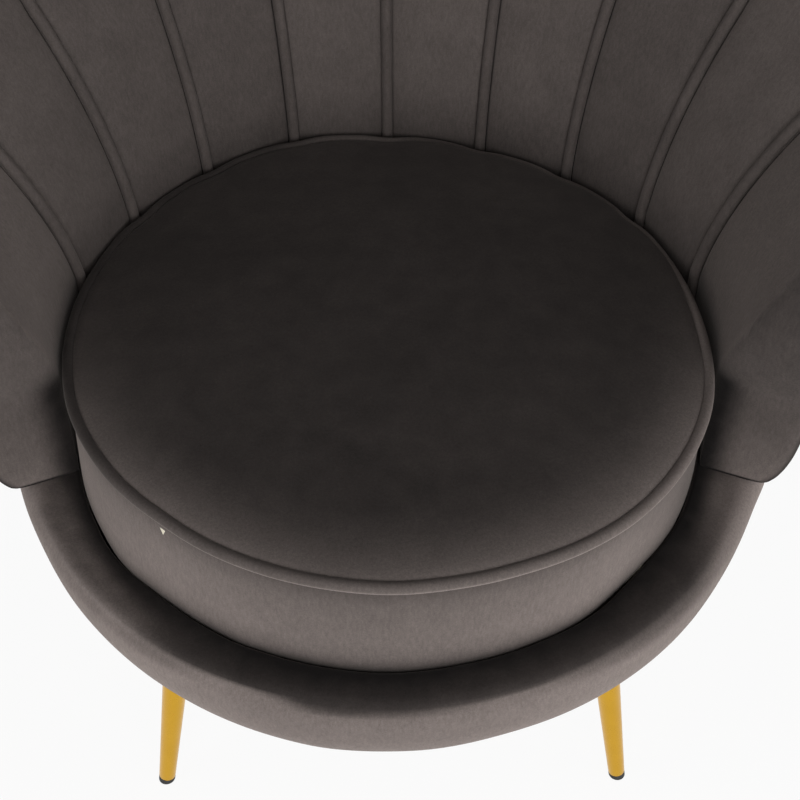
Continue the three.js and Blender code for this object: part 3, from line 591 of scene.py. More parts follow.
def puff(piece, pinned):
    """Cloth blown up from inside with the pinned points held, each point moved by no more than the cap."""
    group = piece.vertex_groups.new(name="pinned")
    group.add([int(i) for i in pinned], 1.0, "REPLACE")
    cloth = piece.modifiers.new("cloth", "CLOTH")
    for key, value in PUFF_CLOTH.items():
        setattr(cloth.settings, key, value)
    cloth.settings.effector_weights.gravity = 0
    cloth.collision_settings.use_collision = False
    cloth.collision_settings.use_self_collision = False
    cloth.point_cache.frame_start, cloth.point_cache.frame_end = 1, PUFF_FRAMES
    for step in range(1, PUFF_FRAMES + 1):
        bpy.context.scene.frame_set(step)
    blown = piece.evaluated_get(bpy.context.evaluated_depsgraph_get())
    start, end = coordinates(piece.data), coordinates(blown.data)
    piece.modifiers.remove(cloth)
    piece.vertex_groups.remove(group)
    bpy.context.scene.frame_set(1)
    shift = end - start
    length = np.linalg.norm(shift, axis=1, keepdims=True)
    set_coordinates(piece.data, start + shift * np.minimum(1, PUFF_CAP / np.maximum(length, 1e-9)))


# Back covers
STEPS_PER_CHANNEL = 24
FIELD_ROWS = 64
FOOT_ROWS = 5
ROLL_ROWS = 16
NOSE_COLUMNS = 14
COVER_THICK = 2 * MM
COVER_CRISP = math.radians(50)
FOOT_ROLL = 3 * MM  # the covers turn under at the foot
FOOT_TURN_SHARE = 0.7
OUTSIDE_SEAM = 40 * MM  # the seam between the covers runs this far from the back's edge, on the outside
SEAM_SINK = 1.6 * MM
SEAM_WIDTH = 1.8 * MM
SEAM_BAND = 20 * MM  # finer rows here carry the seam
SEAM_ROWS = 20
OUTSIDE_NAP = 0.3
CREASE_FROM_SEAM = 5.1 * MM
CREASE_WIDTH = 0.75 * MM
CREASE_DEPTH = 1.6 * MM
CREASE_DEPTH_INNER = 0.5
# Painted shade in the grooves along the cords, darker on their side turned away from the middle
CREASE_SHADE_OUTER = 0.9
CREASE_SHADE_INNER = 0.2
CREASE_COLUMNS = (0, 1.6, 3, 4, 4.5, 4.85, 5.1, 5.35, 5.7, 6.3, 7.4)  # millimetres from each seam
CREVICE = (4 * MM, 32 * MM)  # painted shade: the arms are dark this far round beside the cushion
CREVICE_TOP = (TOP_PIPING_Z - 8 * MM, TOP_PIPING_Z + 24 * MM)
CHANNEL_NAPS_AND_LIGHT = np.array([0.41, 0.24, 0.21, 0.18, 0.25, 0.25, 0.24, 0.2, 0.27, 0.36])  # from left to right; partly painted light, lighter on the arms' inner faces, which the lamps only graze
FOOT_SHADE_SHARE = 0.6  # painted shade: the back is darker down at the cushion
FOOT_SHADE = (TOP_PIPING_Z - 5 * MM, TOP_PIPING_Z + 60 * MM)
# Painted shade on the arms' fronts, which face the lamps: their nap by millimetres above the back's foot
LEFT_NOSE_SHADE_NAPS = ((0, 0.44), (20, 0.33), (45, 0.25), (80, 0.21), (200, 0.18))
RIGHT_NOSE_SHADE_NAPS = ((0, 0.44), (30, 0.33), (60, 0.24), (90, 0.18), (130, 0.12), (180, 0.08), (240, 0.06))
NOSE_FACING = (-0.15, 0.6)  # share of the face turned to the front where the arms' own nap ends and the painted shade of their fronts begins


def back_columns():
    """Place of each column in channels from the middle, closer together at the arms and the seams."""
    spaced = (1 - np.cos(math.pi * shares(STEPS_PER_CHANNEL)[:-1])) / 2
    inner = [k + spaced for k in range(1 - HALF, HALF - 1)] + [[HALF - 1]]
    roll = NOSE_ROLL / END_WIDTH
    side = HALF - 1 + (1 - roll) * np.sin(math.pi / 2 * shares(STEPS_PER_CHANNEL - 1)[1:]) ** 1.3
    nose = HALF - roll * (1 - shares(NOSE_COLUMNS)[1:]) ** 2.2
    seam = HALF - (OUTSIDE_SEAM + SEAM_BAND * (shares(SEAM_ROWS) - 0.5)) / END_WIDTH
    right = np.unique(np.concatenate([side, nose, seam]).round(6))
    field = np.concatenate([-right[::-1], *inner, right])
    field = field[from_seam(field, BACK_Z) > (CREASE_COLUMNS[-1] + 1) * MM]
    beside = []
    for k in range(1 - HALF, HALF):
        for sign in (-1, 1):
            turn = END_CHANNEL_ANGLE if sign * k == HALF - 1 else CHANNEL_ANGLE
            beside += [k + sign * away * MM / (turn * SEAM_RADIUS) for away in CREASE_COLUMNS]
    return np.unique(np.concatenate([field, beside]).round(6))


def back_grid():
    """Channel and height of each point of the back's faces, and how far it is turned under at the foot."""
    u = back_columns()
    roll_z = edge_z(u)[:, None] - EDGE_ROLL
    low = np.broadcast_to(BACK_Z + FOOT_ROLL * shares(FOOT_ROWS)[:-1], (len(u), FOOT_ROWS))
    start = BACK_Z + FOOT_ROLL
    field = shares(FIELD_ROWS - 1) * (roll_z - SEAM_BAND - start) + start
    near = roll_z - SEAM_BAND * (1 - shares(SEAM_ROWS)[1:])
    roll = roll_z + EDGE_ROLL * np.sin(math.pi / 2 * np.sin(math.pi / 2 * shares(ROLL_ROWS)[1:]))
    z = np.concatenate([low, field, near, roll], axis=1)
    turned = FOOT_ROLL * FOOT_TURN_SHARE * hollow(np.clip((z - BACK_Z) / FOOT_ROLL, 0, 1))
    return np.broadcast_to(u[:, None], z.shape), z, turned


def from_seam(u, z):
    """Distance from the nearest seam between channels, along the cover."""
    n = np.abs(u)
    turn = np.where(n > HALF - 1, END_CHANNEL_ANGLE, CHANNEL_ANGLE)
    return np.abs(n - np.minimum(np.round(n), HALF - 1)) * turn * seam_radius(u, z)


def crease(u, z):
    """1 in the narrow groove along each side of a cord, 0 away from it."""
    return bell(from_seam(u, z) - CREASE_FROM_SEAM, CREASE_WIDTH)


def outer_side(u, outer, inner):
    """One value on the side of a cord that is turned away from the middle, another on its other side."""
    n = np.abs(u)
    return np.where((n > np.round(n)) & (n > 0.5), outer, inner)


def to_front(points):
    """How far each point of a face laid out in columns faces the front, from -1 to 1."""
    normals = unit(np.cross(np.gradient(points, axis=0), np.gradient(points, axis=1)))
    middle = normals[len(normals) // 2, normals.shape[1] // 2]
    return -normals[..., 1] * np.sign(-middle[1])


def channel_nap_and_light(u, z, facing):
    """Each channel has its own nap, partly painted light; painted shade darkens the arms' fronts and makes it
    black in the creases, at the foot and beside the cushion.
    """
    index = np.clip(np.floor(u + HALF).astype(int), 0, CHANNELS - 1)
    nap_and_painted_light = CHANNEL_NAPS_AND_LIGHT[index] * (FOOT_SHADE_SHARE + (1 - FOOT_SHADE_SHARE) * smooth_step(z, *FOOT_SHADE))
    ends = np.abs(u) > HALF - 1
    height = (z - BACK_Z) / MM
    face = np.where(u < 0, by_table(height, LEFT_NOSE_SHADE_NAPS), by_table(height, RIGHT_NOSE_SHADE_NAPS))
    # Painted shade on the arms' fronts, which face the lamps
    nap_and_painted_light += (face - nap_and_painted_light) * smooth_step(facing, *NOSE_FACING) * ends
    beside = fade(front_radius(u, z) - SEAM_RADIUS + CROWN, *CREVICE) * ends * fade(z, *CREVICE_TOP)
    groove = crease(u, z) * outer_side(u, CREASE_SHADE_OUTER, CREASE_SHADE_INNER)
    # Painted shade: black beside the cushion, along the back's foot and in the grooves by the cords
    for dark in (beside, fade(z - BACK_Z, MM, 3 * MM), groove):
        nap_and_painted_light += (DEEP_SHADE_NAP - nap_and_painted_light) * dark
    return nap_and_painted_light


def thicken(piece):
    """Gives a single surface its thickness, inwards, and keeps the turn at its edges crisp."""
    thick = piece.modifiers.new("thickness", "SOLIDIFY")
    thick.thickness = COVER_THICK
    thick.offset = -1
    old = piece.data
    piece.data = bpy.data.meshes.new_from_object(piece.evaluated_get(bpy.context.evaluated_depsgraph_get()))
    piece.modifiers.clear()
    bpy.data.meshes.remove(old)
    piece.data.set_sharp_from_angle(angle=COVER_CRISP)


def cover_faces(near_edge):
    """Faces of the back's two covers: the inside one has the front and all that is near the edge behind."""
    columns, rows = near_edge.shape
    index = np.arange(columns * rows).reshape(columns, rows)
    behind = index + columns * rows
    behind[:, -1], behind[0], behind[-1] = index[:, -1], index[0], index[-1]
    inside, outside = grid_faces(columns, rows), []
    for i in range(columns - 1):
        for j in range(rows - 1):
            face = (behind[i, j], behind[i, j + 1], behind[i + 1, j + 1], behind[i + 1, j])
            (inside if near_edge[i : i + 2, j : j + 2].any() else outside).append(face)
    return inside, outside


def make_back_cover(name, node, verts, nap_and_painted_light, faces):
    used, numbers = np.unique(np.array(faces), return_inverse=True)
    piece = new_piece(name, "velvet", verts[used], numbers.reshape(-1, 4).tolist(), closed=False)
    set_nap_and_painted_light(piece, nap_and_painted_light[used])
    thicken(piece)
    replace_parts(piece, node)


def make_back_covers():
    """The inside cover goes over the edge to a seam behind; the outside cover fills what is left."""
    u, z, turned = back_grid()
    groove = CREASE_DEPTH * crease(u, z) * outer_side(u, 1, CREASE_DEPTH_INNER)
    front = on_back(u, z, front_radius(u, z) + turned + groove)
    from_edge = np.minimum(edge_z(u) - z, (HALF - np.abs(u)) * END_WIDTH)
    sunk = SEAM_SINK * bell(from_edge - OUTSIDE_SEAM, SEAM_WIDTH)
    back = on_back(u, z, back_radius(u, z) - turned - sunk)
    verts = np.concatenate([front.reshape(-1, 3), back.reshape(-1, 3)])
    front_nap_and_light = channel_nap_and_light(u, z, to_front(front))
    back_nap_and_light = OUTSIDE_NAP + (front_nap_and_light - OUTSIDE_NAP) * fade(from_edge, 0, OUTSIDE_SEAM)
    nap_and_painted_light = np.concatenate([front_nap_and_light.ravel(), back_nap_and_light.ravel()])
    inside, outside = cover_faces(from_edge < OUTSIDE_SEAM + MM / 10)
    make_back_cover("inside_back", "inside_back_cover", verts, nap_and_painted_light, inside)
    make_back_cover("outside_back", "outside_back_cover", verts, nap_and_painted_light, outside)


STRIP_THICK = 0.8 * MM
STRIP_LIP = 1.2 * MM
STRIP_REACH = 26 * MM
STRIP_COLUMNS = 120
STRIP_END = HALF - 0.08
STRIP_GAP = 0.1 * MM


def make_back_strip():
    """Velvet turned under the foot of the back, where it stands out over the base."""
    u = np.linspace(-STRIP_END, STRIP_END, STRIP_COLUMNS)
    outer = outer_radius(u, BACK_Z) - STRIP_LIP
    inner = outer - STRIP_REACH + 2 * STRIP_LIP
    corners = ((outer, 0), (inner, 0), (inner, STRIP_THICK), (outer, STRIP_THICK))
    rings = np.stack([on_back(u, BACK_Z - STRIP_GAP - down, radius) for radius, down in corners], axis=1)
    piece = loft("back_strip", "velvet", rings)
    piece.data.set_sharp_from_angle(angle=CRISP)
    set_nap_and_painted_light(piece, OUTSIDE_NAP / 2)


# Back pipings
BACK_PIPING = 4.8 * MM
BACK_CORD_NAP = 0.2
PIPING_LIFT = 0.8 * MM
PIPING_LIFT_AT_EDGE = 2.6 * MM
PIPING_ROWS = 90
PIPING_ROLL_ROWS = 18
PIPING_TUCK = 3 * MM  # the end sinks this far into the closing seam
PIPING_TUCK_FROM = 0.75  # of the way over the edge


def make_back_pipings():
    for k in range(1, CHANNELS):
        u = k - HALF
        roll_z = edge_z(u) - EDGE_ROLL
        late = np.concatenate([np.zeros(PIPING_ROWS), shares(PIPING_ROLL_ROWS)[1:]])
        z = np.concatenate([np.linspace(BACK_Z, roll_z, PIPING_ROWS), np.full(PIPING_ROLL_ROWS, roll_z)])
        z += EDGE_ROLL * np.sin(math.pi / 2 * late)
        radius = front_radius(u, z)
        ahead = unit(np.stack([np.gradient(radius), np.gradient(z)], axis=1))
        lift = BACK_PIPING + PIPING_LIFT + (PIPING_LIFT_AT_EDGE - PIPING_LIFT) * late
        lift -= (lift[-1] + PIPING_TUCK) * smooth_step(late, PIPING_TUCK_FROM, 1)
        path = polar(radius - lift * ahead[:, 1], azimuth(u, z), z + lift * ahead[:, 0])
        path += wander(path, 60 * MM, 0.3 * MM, k)[:, None]
        turn = azimuth(u, BACK_Z)
        piece = cord(f"back_cord_{k}", path, BACK_PIPING, np.array([math.cos(turn), -math.sin(turn), 0]))
        set_nap_and_painted_light(piece, BACK_CORD_NAP)
        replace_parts(piece, f"back_piping_{k}")


# Cushion outline
CUSHION_RADIUS = 266 * MM
CUSHION_PIPING = 4.8 * MM
LOW_CORD = 4 * MM
LOW_CORD_INSET = 5 * MM  # the lower cord lies this far inside the line where band and rim meet
LIP_GAP = 0.6 * MM
RING_DRIFT = traced({
    0: -1, 10: -2, 18: -4, 30: -5, 60: -5, 75: -7, 82: -7.5, 90: -6.5, 97: -4, 103: -1, 110: 2, 120: 3.6,
    130: 5, 140: 5, 150: 3.4, 160: 1.4, 170: 0.6, 180: 1.4, 190: 0.4, 200: -0.4, 210: -1.6, 220: -3.4,
    230: -1.4, 240: -1, 250: -0.2, 260: -1.4, 270: -2, 290: -2, 300: 0,
}, math.radians(3))  # millimetres by which the upper cord leaves its circle
RING_DROP = traced({
    0: 1.5, 10: 1.5, 16: 3, 22: 4, 70: 4, 85: 2, 100: 0, 120: 1.2, 140: 2.4, 160: 1, 180: 1.2, 200: 0.2,
    230: 0, 300: 0, 310: -0.5, 320: -2.5, 330: -4.5, 340: -6, 346: -5, 352: -2,
}, math.radians(3))  # millimetres by which it lies lower
PANEL_OVER = traced({0: 1, 12: 3, 80: 3, 92: 1, 100: 0, 350: 0})  # millimetres of the panel above the cord
MEETING = traced({
    0: 266.6, 80: 268, 95: 270.5, 104: 269, 110: 268, 120: 267.5, 125: 266, 130: 264.2, 135: 263.8,
    140: 265.2, 145: 267.5, 150: 267.8, 155: 267, 170: 267, 180: 268.5, 190: 267.5, 200: 267, 205: 268,
    210: 267, 220: 266.5, 225: 268, 230: 271, 235: 271.8, 240: 270.8, 250: 271.2, 260: 271, 280: 268,
}, math.radians(2))  # millimetres from the cushion's axis to where its band meets the rim


# Base cover
RIM_COLUMNS = 256
RECESS_RADIUS = 272 * MM
LIP_ROUND = 4.5 * MM
LIP_SLOPE = 8 * MM
RIM_TOP_ROUND = 19 * MM
RIM_BOTTOM_ROUND = 38 * MM
RIM_BOTTOM_RISE = 66 * MM
UNDER_RADIUS = 278 * MM
DECK_Z = levels("deck_cloth")[1]
DECK_CLOTH = 2 * MM
RIM_CROWN = 1.6 * MM  # of the rim's top in front of the arms
FRONT_ANGLE = math.radians(124)  # from the back, where the arms end
FRONT_BLEND = 0.2
RIM_DRIFT = traced({
    0: 0, 98: -1, 105: 0.6, 110: 0.2, 115: -1.5, 120: -2.5, 125: -2.7, 130: -2.1, 135: -1.8, 145: -2,
    155: -2.3, 160: -3, 165: -3, 170: -1.8, 175: -0.8, 180: -1, 190: 0, 195: -1.2, 200: -1.8, 205: -2.5,
    212: -3.8, 220: -4.4, 228: -4.8, 235: -4.7, 240: -4.8, 245: -4, 250: -1.8, 256: 0.8, 260: 2, 266: 2,
    280: 0,
}, math.radians(2.5))  # millimetres by which the base leaves its circle
RIM_SWELL = 6 * MM  # the right arm presses the rim out
RIM_SWELL_ANGLE = math.radians(103.5)
RIM_SWELL_WIDTH = math.radians(4.6)
RIM_SWELL_LOW_SHARE = 0.2
RIM_SWELL_LOW = 2.6 * RIM_TOP_ROUND  # below the rim's top, where only its low share is left
RIM_WANDER = 0.001  # share of the radius
RIM_WANDER_SIZE = 90 * MM
CROWNED_FROM = (RIM_Z - 6 * MM, RIM_Z - 1 * MM)
SIDE_RADII = (295 * MM, 306 * MM)
SIDE_SHARES = (0.7, 0.95)  # of the way across the rim, where the edge begins to move


def recess_at(angle):
    across = SEAT_FORWARD * np.sin(angle)
    return np.sqrt(RECESS_RADIUS**2 - across**2) - SEAT_FORWARD * np.cos(angle)


def arc(radius, z, across, up, start, end, count):
    a = np.radians(np.linspace(start, end, count))[None, :]
    return radius + across * np.cos(a), z + up * np.sin(a)


def rim_outline(angle, inset):
    """Radius and height from the recess over the top to the underside, for each angle from the back."""
    recess = recess_at(angle)[:, None]
    lip = recess + (MM * MEETING(angle) + LIP_GAP - RECESS_RADIUS)[:, None]
    lip_z = RIM_Z - LIP_ROUND
    wall = np.linspace(DECK_Z - DECK_CLOTH, lip_z - LIP_SLOPE, 5)[None, :]
    slope = shares(5)[None, 1:-1]
    inner, outer = lip + LIP_ROUND, BASE_RADIUS - RIM_TOP_ROUND
    side = BASE_RADIUS - RIM_BOTTOM_ROUND
    corner, shoulder = LIP_ROUND - inset, RIM_TOP_ROUND - inset
    strips = [
        (recess + inset, wall),
        (recess + inset + (lip - recess) * smooth_step(slope, 0, 1), lip_z - LIP_SLOPE * (1 - slope)),
        arc(inner, lip_z, corner, corner, 180, 90, 7),
        (inner + (outer - inner) * shares(15)[None, 1:-1], RIM_Z - inset),
        arc(outer, RIM_Z - RIM_TOP_ROUND, shoulder, shoulder, 90, 0, 12),
        arc(side, UNDER_Z + RIM_BOTTOM_RISE, RIM_BOTTOM_ROUND - inset, RIM_BOTTOM_RISE - inset, 0, -90, 20),
        (np.linspace(side, UNDER_RADIUS, 4)[None, 1:], UNDER_Z + inset),
    ]
    strips = [np.broadcast_arrays(radius, z, recess)[:2] for radius, z in strips]
    return [np.concatenate(parts, axis=1) for parts in zip(*strips)]


def rim_layer(angle, inset):
    """The rim's outline set in from its face, moved off the circle as the soft rim is."""
    radius, z = rim_outline(angle, inset)
    recess = recess_at(angle)[:, None]
    across = np.clip((radius - recess) / (BASE_RADIUS - recess), 0, 1)
    free = smooth_step(np.abs(angle), FRONT_ANGLE, FRONT_ANGLE + FRONT_BLEND)[:, None]
    on_top = smooth_step(z, *CROWNED_FROM)
    z = z + RIM_CROWN * free * on_top * np.sin(math.pi * across)
    points = polar(radius, angle[:, None], z, BASE_Y)
    low = smooth_step(RIM_Z - z, RIM_TOP_ROUND / 2, RIM_TOP_ROUND) * smooth_step(radius, *SIDE_RADII)
    side = np.maximum(low, smooth_step(across, *SIDE_SHARES))
    swell = RIM_SWELL * bell(angle - RIM_SWELL_ANGLE, RIM_SWELL_WIDTH)[:, None]
    high_share = fade(RIM_Z - z, RIM_TOP_ROUND, RIM_SWELL_LOW)
    swell = swell * (RIM_SWELL_LOW_SHARE + (1 - RIM_SWELL_LOW_SHARE) * high_share)
    moved = (swell + MM * RIM_DRIFT(angle)[:, None]) / BASE_RADIUS
    share = 1 + side * (wander(points, RIM_WANDER_SIZE, RIM_WANDER, 3) + moved)
    points[..., 0] *= share
    points[..., 1] = BASE_Y + (points[..., 1] - BASE_Y) * share
    return points


# Nap of the rim, with painted light and shade: angles in degrees from the back
FACE_NAP_AND_LIGHT = 0.53  # of the base's side at the front, lighter than the top: partly nap and partly painted light
FACE_SHEEN_GAIN = 0.18  # painted sheen: how much lighter it gets to the right and to the left
LOW_FACE_LIGHT_GAIN = 0.24  # painted light: and lower down, where the side faces the floor
ASIDE_SPAN = (12, 38)  # from the middle
LOW_SLOPES = (0, 0.6)
TURN_SLOPE = 0.66  # the face turns light where the rim slopes this much
TURN_BUMPS = ((184, 8, -0.05), (205, 9, 0.06), (161, 8, -0.12))  # angle, width, and how far it moves there
TURN_WANDER = 0.05
TURN_WANDER_SIZE = 60 * MM
TURN_RIGHT = 0.22  # how much it moves at the right and at the left
TURN_LEFT = 0.32
TURN_SPAN = (20, 45)
TURN_SOFT = 0.12
TURN_SOFTER = 0.36
SOFTER_SPAN = (20, 42)
CUSHION_SHADE_LIFT = 0.13  # painted shade: the rim's top is darkest next to the cushion and gains this much away from it
FAR_SPAN = (0, 34 * MM)
PALE_PATCHES_FROM = (276 * MM, 294 * MM)  # the rim's top has paler patches out here
PALE_PATCH_MIDDLE = 295 * MM
PALE_PATCH_SLANT = 0.25
PALE_RIGHT = (108, 128)
PALE_LEFT = (212, 230)
RIGHT_PALE_NAP = 0.46
LEFT_PALE_NAP = 0.2
LEFT_STREAK_NAP = 0.3
STREAK_SIZE = 16 * MM
STREAK_STRETCH = (1, 1, 0.2)
EDGE_SHEEN_GAIN = 0.5  # painted sheen towards the rim's outer edge in the pale patches, over the width of the edge
EDGE_SHEEN_START = 298 * MM
EDGE_SHEEN_WIDTH = 36 * MM
EDGE_SHEEN_LIMIT = 1.1
ARM_SHADE = (282 * MM, 308 * MM)  # the rim is dark up to here beside the arms
ARMS_FROM = (70, 78)  # from the middle between them
SHADE_MIDDLE = 178.5


def rim_nap_and_light(points, slope):
    """Nap of the rim, with painted light and shade: the top is dark and the side light, partly nap and partly
    painted light; painted shade next to the cushion and in the arms' shadow, paler patches beside the arms,
    and painted sheen towards their outer edge.
    """
    radius, angle = (values.ravel() for values in around(points))
    angle = np.degrees(angle) % 360
    aside = np.abs(angle - 180)
    turn = TURN_SLOPE + wander(points, TURN_WANDER_SIZE, TURN_WANDER, 31).ravel()
    for at, width, move in TURN_BUMPS:
        turn += move * bell(angle - at, width)
    turn -= np.where(angle < 180, TURN_RIGHT, TURN_LEFT) * smooth_step(aside, *TURN_SPAN)
    soft = TURN_SOFT + TURN_SOFTER * smooth_step(aside, *SOFTER_SPAN)
    side = fade(slope, turn - soft, turn + soft)
    slant = (radius - PALE_PATCH_MIDDLE) / MM * PALE_PATCH_SLANT
    right = fade(angle - slant, *PALE_RIGHT)
    left = smooth_step(angle + slant, *PALE_LEFT)
    streaks = 0.5 + wander(points * STREAK_STRETCH, STREAK_SIZE, 0.5, 33).ravel()
    pale_patches = RIGHT_PALE_NAP * right + left * (LEFT_PALE_NAP + LEFT_STREAK_NAP * streaks)
    shaded = 1 - smooth_step(np.abs(angle - SHADE_MIDDLE), *ARMS_FROM) * fade(radius, *ARM_SHADE)
    far = smooth_step(radius - MM * MEETING(np.radians(angle)), *FAR_SPAN)
    edge_sheen = EDGE_SHEEN_GAIN * np.clip((radius - EDGE_SHEEN_START) / EDGE_SHEEN_WIDTH, 0, EDGE_SHEEN_LIMIT) * np.maximum(right, left)
    top = DEEP_SHADE_NAP + CUSHION_SHADE_LIFT * far + smooth_step(radius, *PALE_PATCHES_FROM) * shaded * pale_patches + edge_sheen
    face = FACE_NAP_AND_LIGHT + FACE_SHEEN_GAIN * smooth_step(aside, *ASIDE_SPAN)
    face += LOW_FACE_LIGHT_GAIN * smooth_step(-slope, *LOW_SLOPES)
    return top + (np.maximum(face, top) - top) * side


def make_base_cover():
    angle = all_round(RIM_COLUMNS)
    points = np.concatenate([rim_layer(angle, 0), rim_layer(angle, COVER_THICK)[:, ::-1]], axis=1)
    piece = loft("base_velvet", "velvet", points, endless=True)
    set_nap_and_painted_light(piece, rim_nap_and_light(points, slopes(piece)))
    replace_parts(piece, "base_cover")


FOAM_GAP = 0.3 * MM
FOAM_STEP = 8 * MM
TOP_RING_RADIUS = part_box("base_top_ring")[1][0]
TOP_RING_LOW, TOP_RING_TOP = levels("base_top_ring")
BOTTOM_RING_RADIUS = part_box("base_bottom_ring")[1][0]
BOTTOM_RING_LOW = levels("base_bottom_ring")[0]


def make_rim_foam():
    """The foam under the rim's cover, round the wooden rings."""
    angle = all_round(RIM_COLUMNS)
    outside = rim_layer(angle, COVER_THICK + FOAM_GAP)
    outside = outside[:, outside[0, :, 2] > BOTTOM_RING_LOW + COVER_THICK]
    foot, step = BOTTOM_RING_RADIUS + COVER_THICK, TOP_RING_RADIUS + FOAM_GAP
    deck = recess_at(angle) + COVER_THICK + FOAM_GAP
    step_z, deck_z = TOP_RING_LOW - FOAM_STEP, TOP_RING_TOP + FOAM_GAP
    corners = ((foot, BOTTOM_RING_LOW), (foot, step_z), (step, step_z), (step, deck_z), (deck, deck_z))
    inside = np.stack([polar(radius, angle, z, BASE_Y) for radius, z in corners], axis=1)
    piece = loft("rim_foam", "foam", np.concatenate([outside, inside], axis=1), endless=True)
    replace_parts(piece, "base_rim_foam")


# Seat cushion
CUSHION_CROWN = 13 * MM
CROWN_BEFORE_PUFF = 9 * MM
CROWN_LIMIT = 1.25
PIPING_SIDES = 24
RING_STEPS = 360
PANEL_INSET = 3 * MM
PANEL_LIFT = 0.85  # of the cord's radius
UNDER_GAP = 0.5 * MM
CUSHION_STEPS = 56  # quads along a quarter of the ring
SEAM_ROUND = 5 * MM  # the band turns in to each piping over this height
BAND_END = 3 * MM
BAND_BULGE = 3 * MM
PANEL_NAP = 0.02  # in the middle; the painted light that its edge gains is below, by angle and by share of the radius
PANEL_EDGE_LIGHT = traced({
    0: 0.02, 60: 0.03, 80: 0.1, 90: 0.18, 100: 0.28, 115: 0.42, 130: 0.49, 145: 0.5, 160: 0.47, 175: 0.4,
    190: 0.37, 205: 0.43, 220: 0.43, 235: 0.34, 250: 0.26, 262: 0.15, 275: 0.05, 300: 0,
})
PANEL_SHADE = ((0.5, 0), (0.72, 0.02), (0.78, 0.06), (0.85, 0.2), (0.91, 0.47), (0.97, 0.9), (1, 1))
# Band by angle, partly painted light: darker beside the right arm and lightest where the band turns to the
# sides
BAND_NAP_AND_LIGHT = traced({
    0: 0.3, 100: 0.12, 112: 0.14, 120: 0.26, 128: 0.46, 140: 0.6, 160: 0.46, 180: 0.38, 200: 0.44,
    220: 0.54, 240: 0.5, 255: 0.4, 280: 0.3,
})
BAND_SHADE = (
    (0, 0.25), (0.1, 0.5), (0.25, 0.82), (0.45, 1.02), (0.7, 1.12),
    (0.84, 1), (0.93, 0.68), (0.97, 0.35), (1, 0.1),
)  # painted shade: shares of the band's nap from the cord down to the rim, darkest under the cord and at the rim
# Cords by angle, with painted light and shade: lit on the right and in shade on the left
RING_NAP_AND_LIGHT = traced({
    0: 0.4, 10: 0.44, 20: 0.5, 40: 0.55, 70: 0.6, 80: 0.9, 90: 1.05, 105: 0.85, 115: 0.85, 130: 0.85,
    150: 0.72, 170: 0.6, 185: 0.56, 200: 0.46, 220: 0.34, 235: 0.16, 250: 0.05, 266: -0.03, 290: 0,
    320: 0.02, 338: 0.1, 348: 0.36,
})
RING_LIT_ABOVE = 0.55  # painted light: shares of it on the cord's upper and lower side, the lower side lit from the low front
RING_LIT_BELOW = 1.5
BAND_REACH_ZIP = 0.6 * MM
ZIP_ARC = math.radians(140)
ZIP_SLOT = 24 * MM
ZIP_Z = (LOW_PIPING_Z + TOP_PIPING_Z) / 2
ZIP_DEPTH = 2.3 * MM
ZIP_LIP = 1.2 * MM
PRESS_DEPTH = 3 * MM  # the back's cords push the cushion's edge in
PRESS_WIDTH = math.radians(3.6)


def disc_grid(steps):
    """Points of a unit disc as an even grid, and the ring of its edge points in order."""
    line = np.linspace(-1, 1, steps + 1)
    a, b = np.meshgrid(line, line, indexing="ij")
    wide = np.abs(a) > np.abs(b)
    with np.errstate(divide="ignore", invalid="ignore"):
        turn = math.pi / 4 * np.where(wide, np.nan_to_num(b / a), 2 - np.nan_to_num(a / b))
    radius = np.where(wide, a, b)
    index = np.arange((steps + 1) ** 2).reshape(steps + 1, steps + 1)
    ring = np.concatenate([index[-1, :-1], index[::-1, -1][:-1], index[0, ::-1][:-1], index[:-1, 0]])
    return (radius * np.cos(turn)).ravel(), (radius * np.sin(turn)).ravel(), index, ring.tolist()


def disc_points(x, y, radius, centre, z):
    return np.stack([x * radius, centre + y * radius, z + 0 * x], axis=1)


def disc_faces(index, start):
    """Faces of a disc, and of another whose points begin at start."""
    steps = len(index) - 1
    faces = [
        (int(index[i, j]), int(index[i + 1, j]), int(index[i + 1, j + 1]), int(index[i, j + 1]))
        for i in range(steps)
        for j in range(steps)
    ]
    return faces + [tuple(start + i for i in face[::-1]) for face in faces]


def pressed(points):
    """The cushion's edge drawn in where the back's cords push against it."""
    radius, angle = around(points)
    depth = sum(bell(angle - k * CHANNEL_ANGLE, PRESS_WIDTH) for k in range(2 - HALF, HALF - 1))
    high = smooth_step(points[..., 2], ZIP_Z + ZIP_SLOT, TOP_PIPING_Z - 15 * MM)
    near = smooth_step(radius, CUSHION_RADIUS * 0.6, CUSHION_RADIUS)
    return polar(radius - PRESS_DEPTH * depth * near * high, angle, points[..., 2])


def drifted(points):
    """The upper panel and cord, moved off their circle as the soft edge is."""
    radius, angle = around(points)
    out = MM * RING_DRIFT(angle) * smooth_step(radius, CUSHION_RADIUS * 0.5, CUSHION_RADIUS)
    down = MM * RING_DROP(angle) * smooth_step(radius, CUSHION_RADIUS * 0.75, CUSHION_RADIUS)
    return polar(radius + out, angle, points[..., 2] - down)


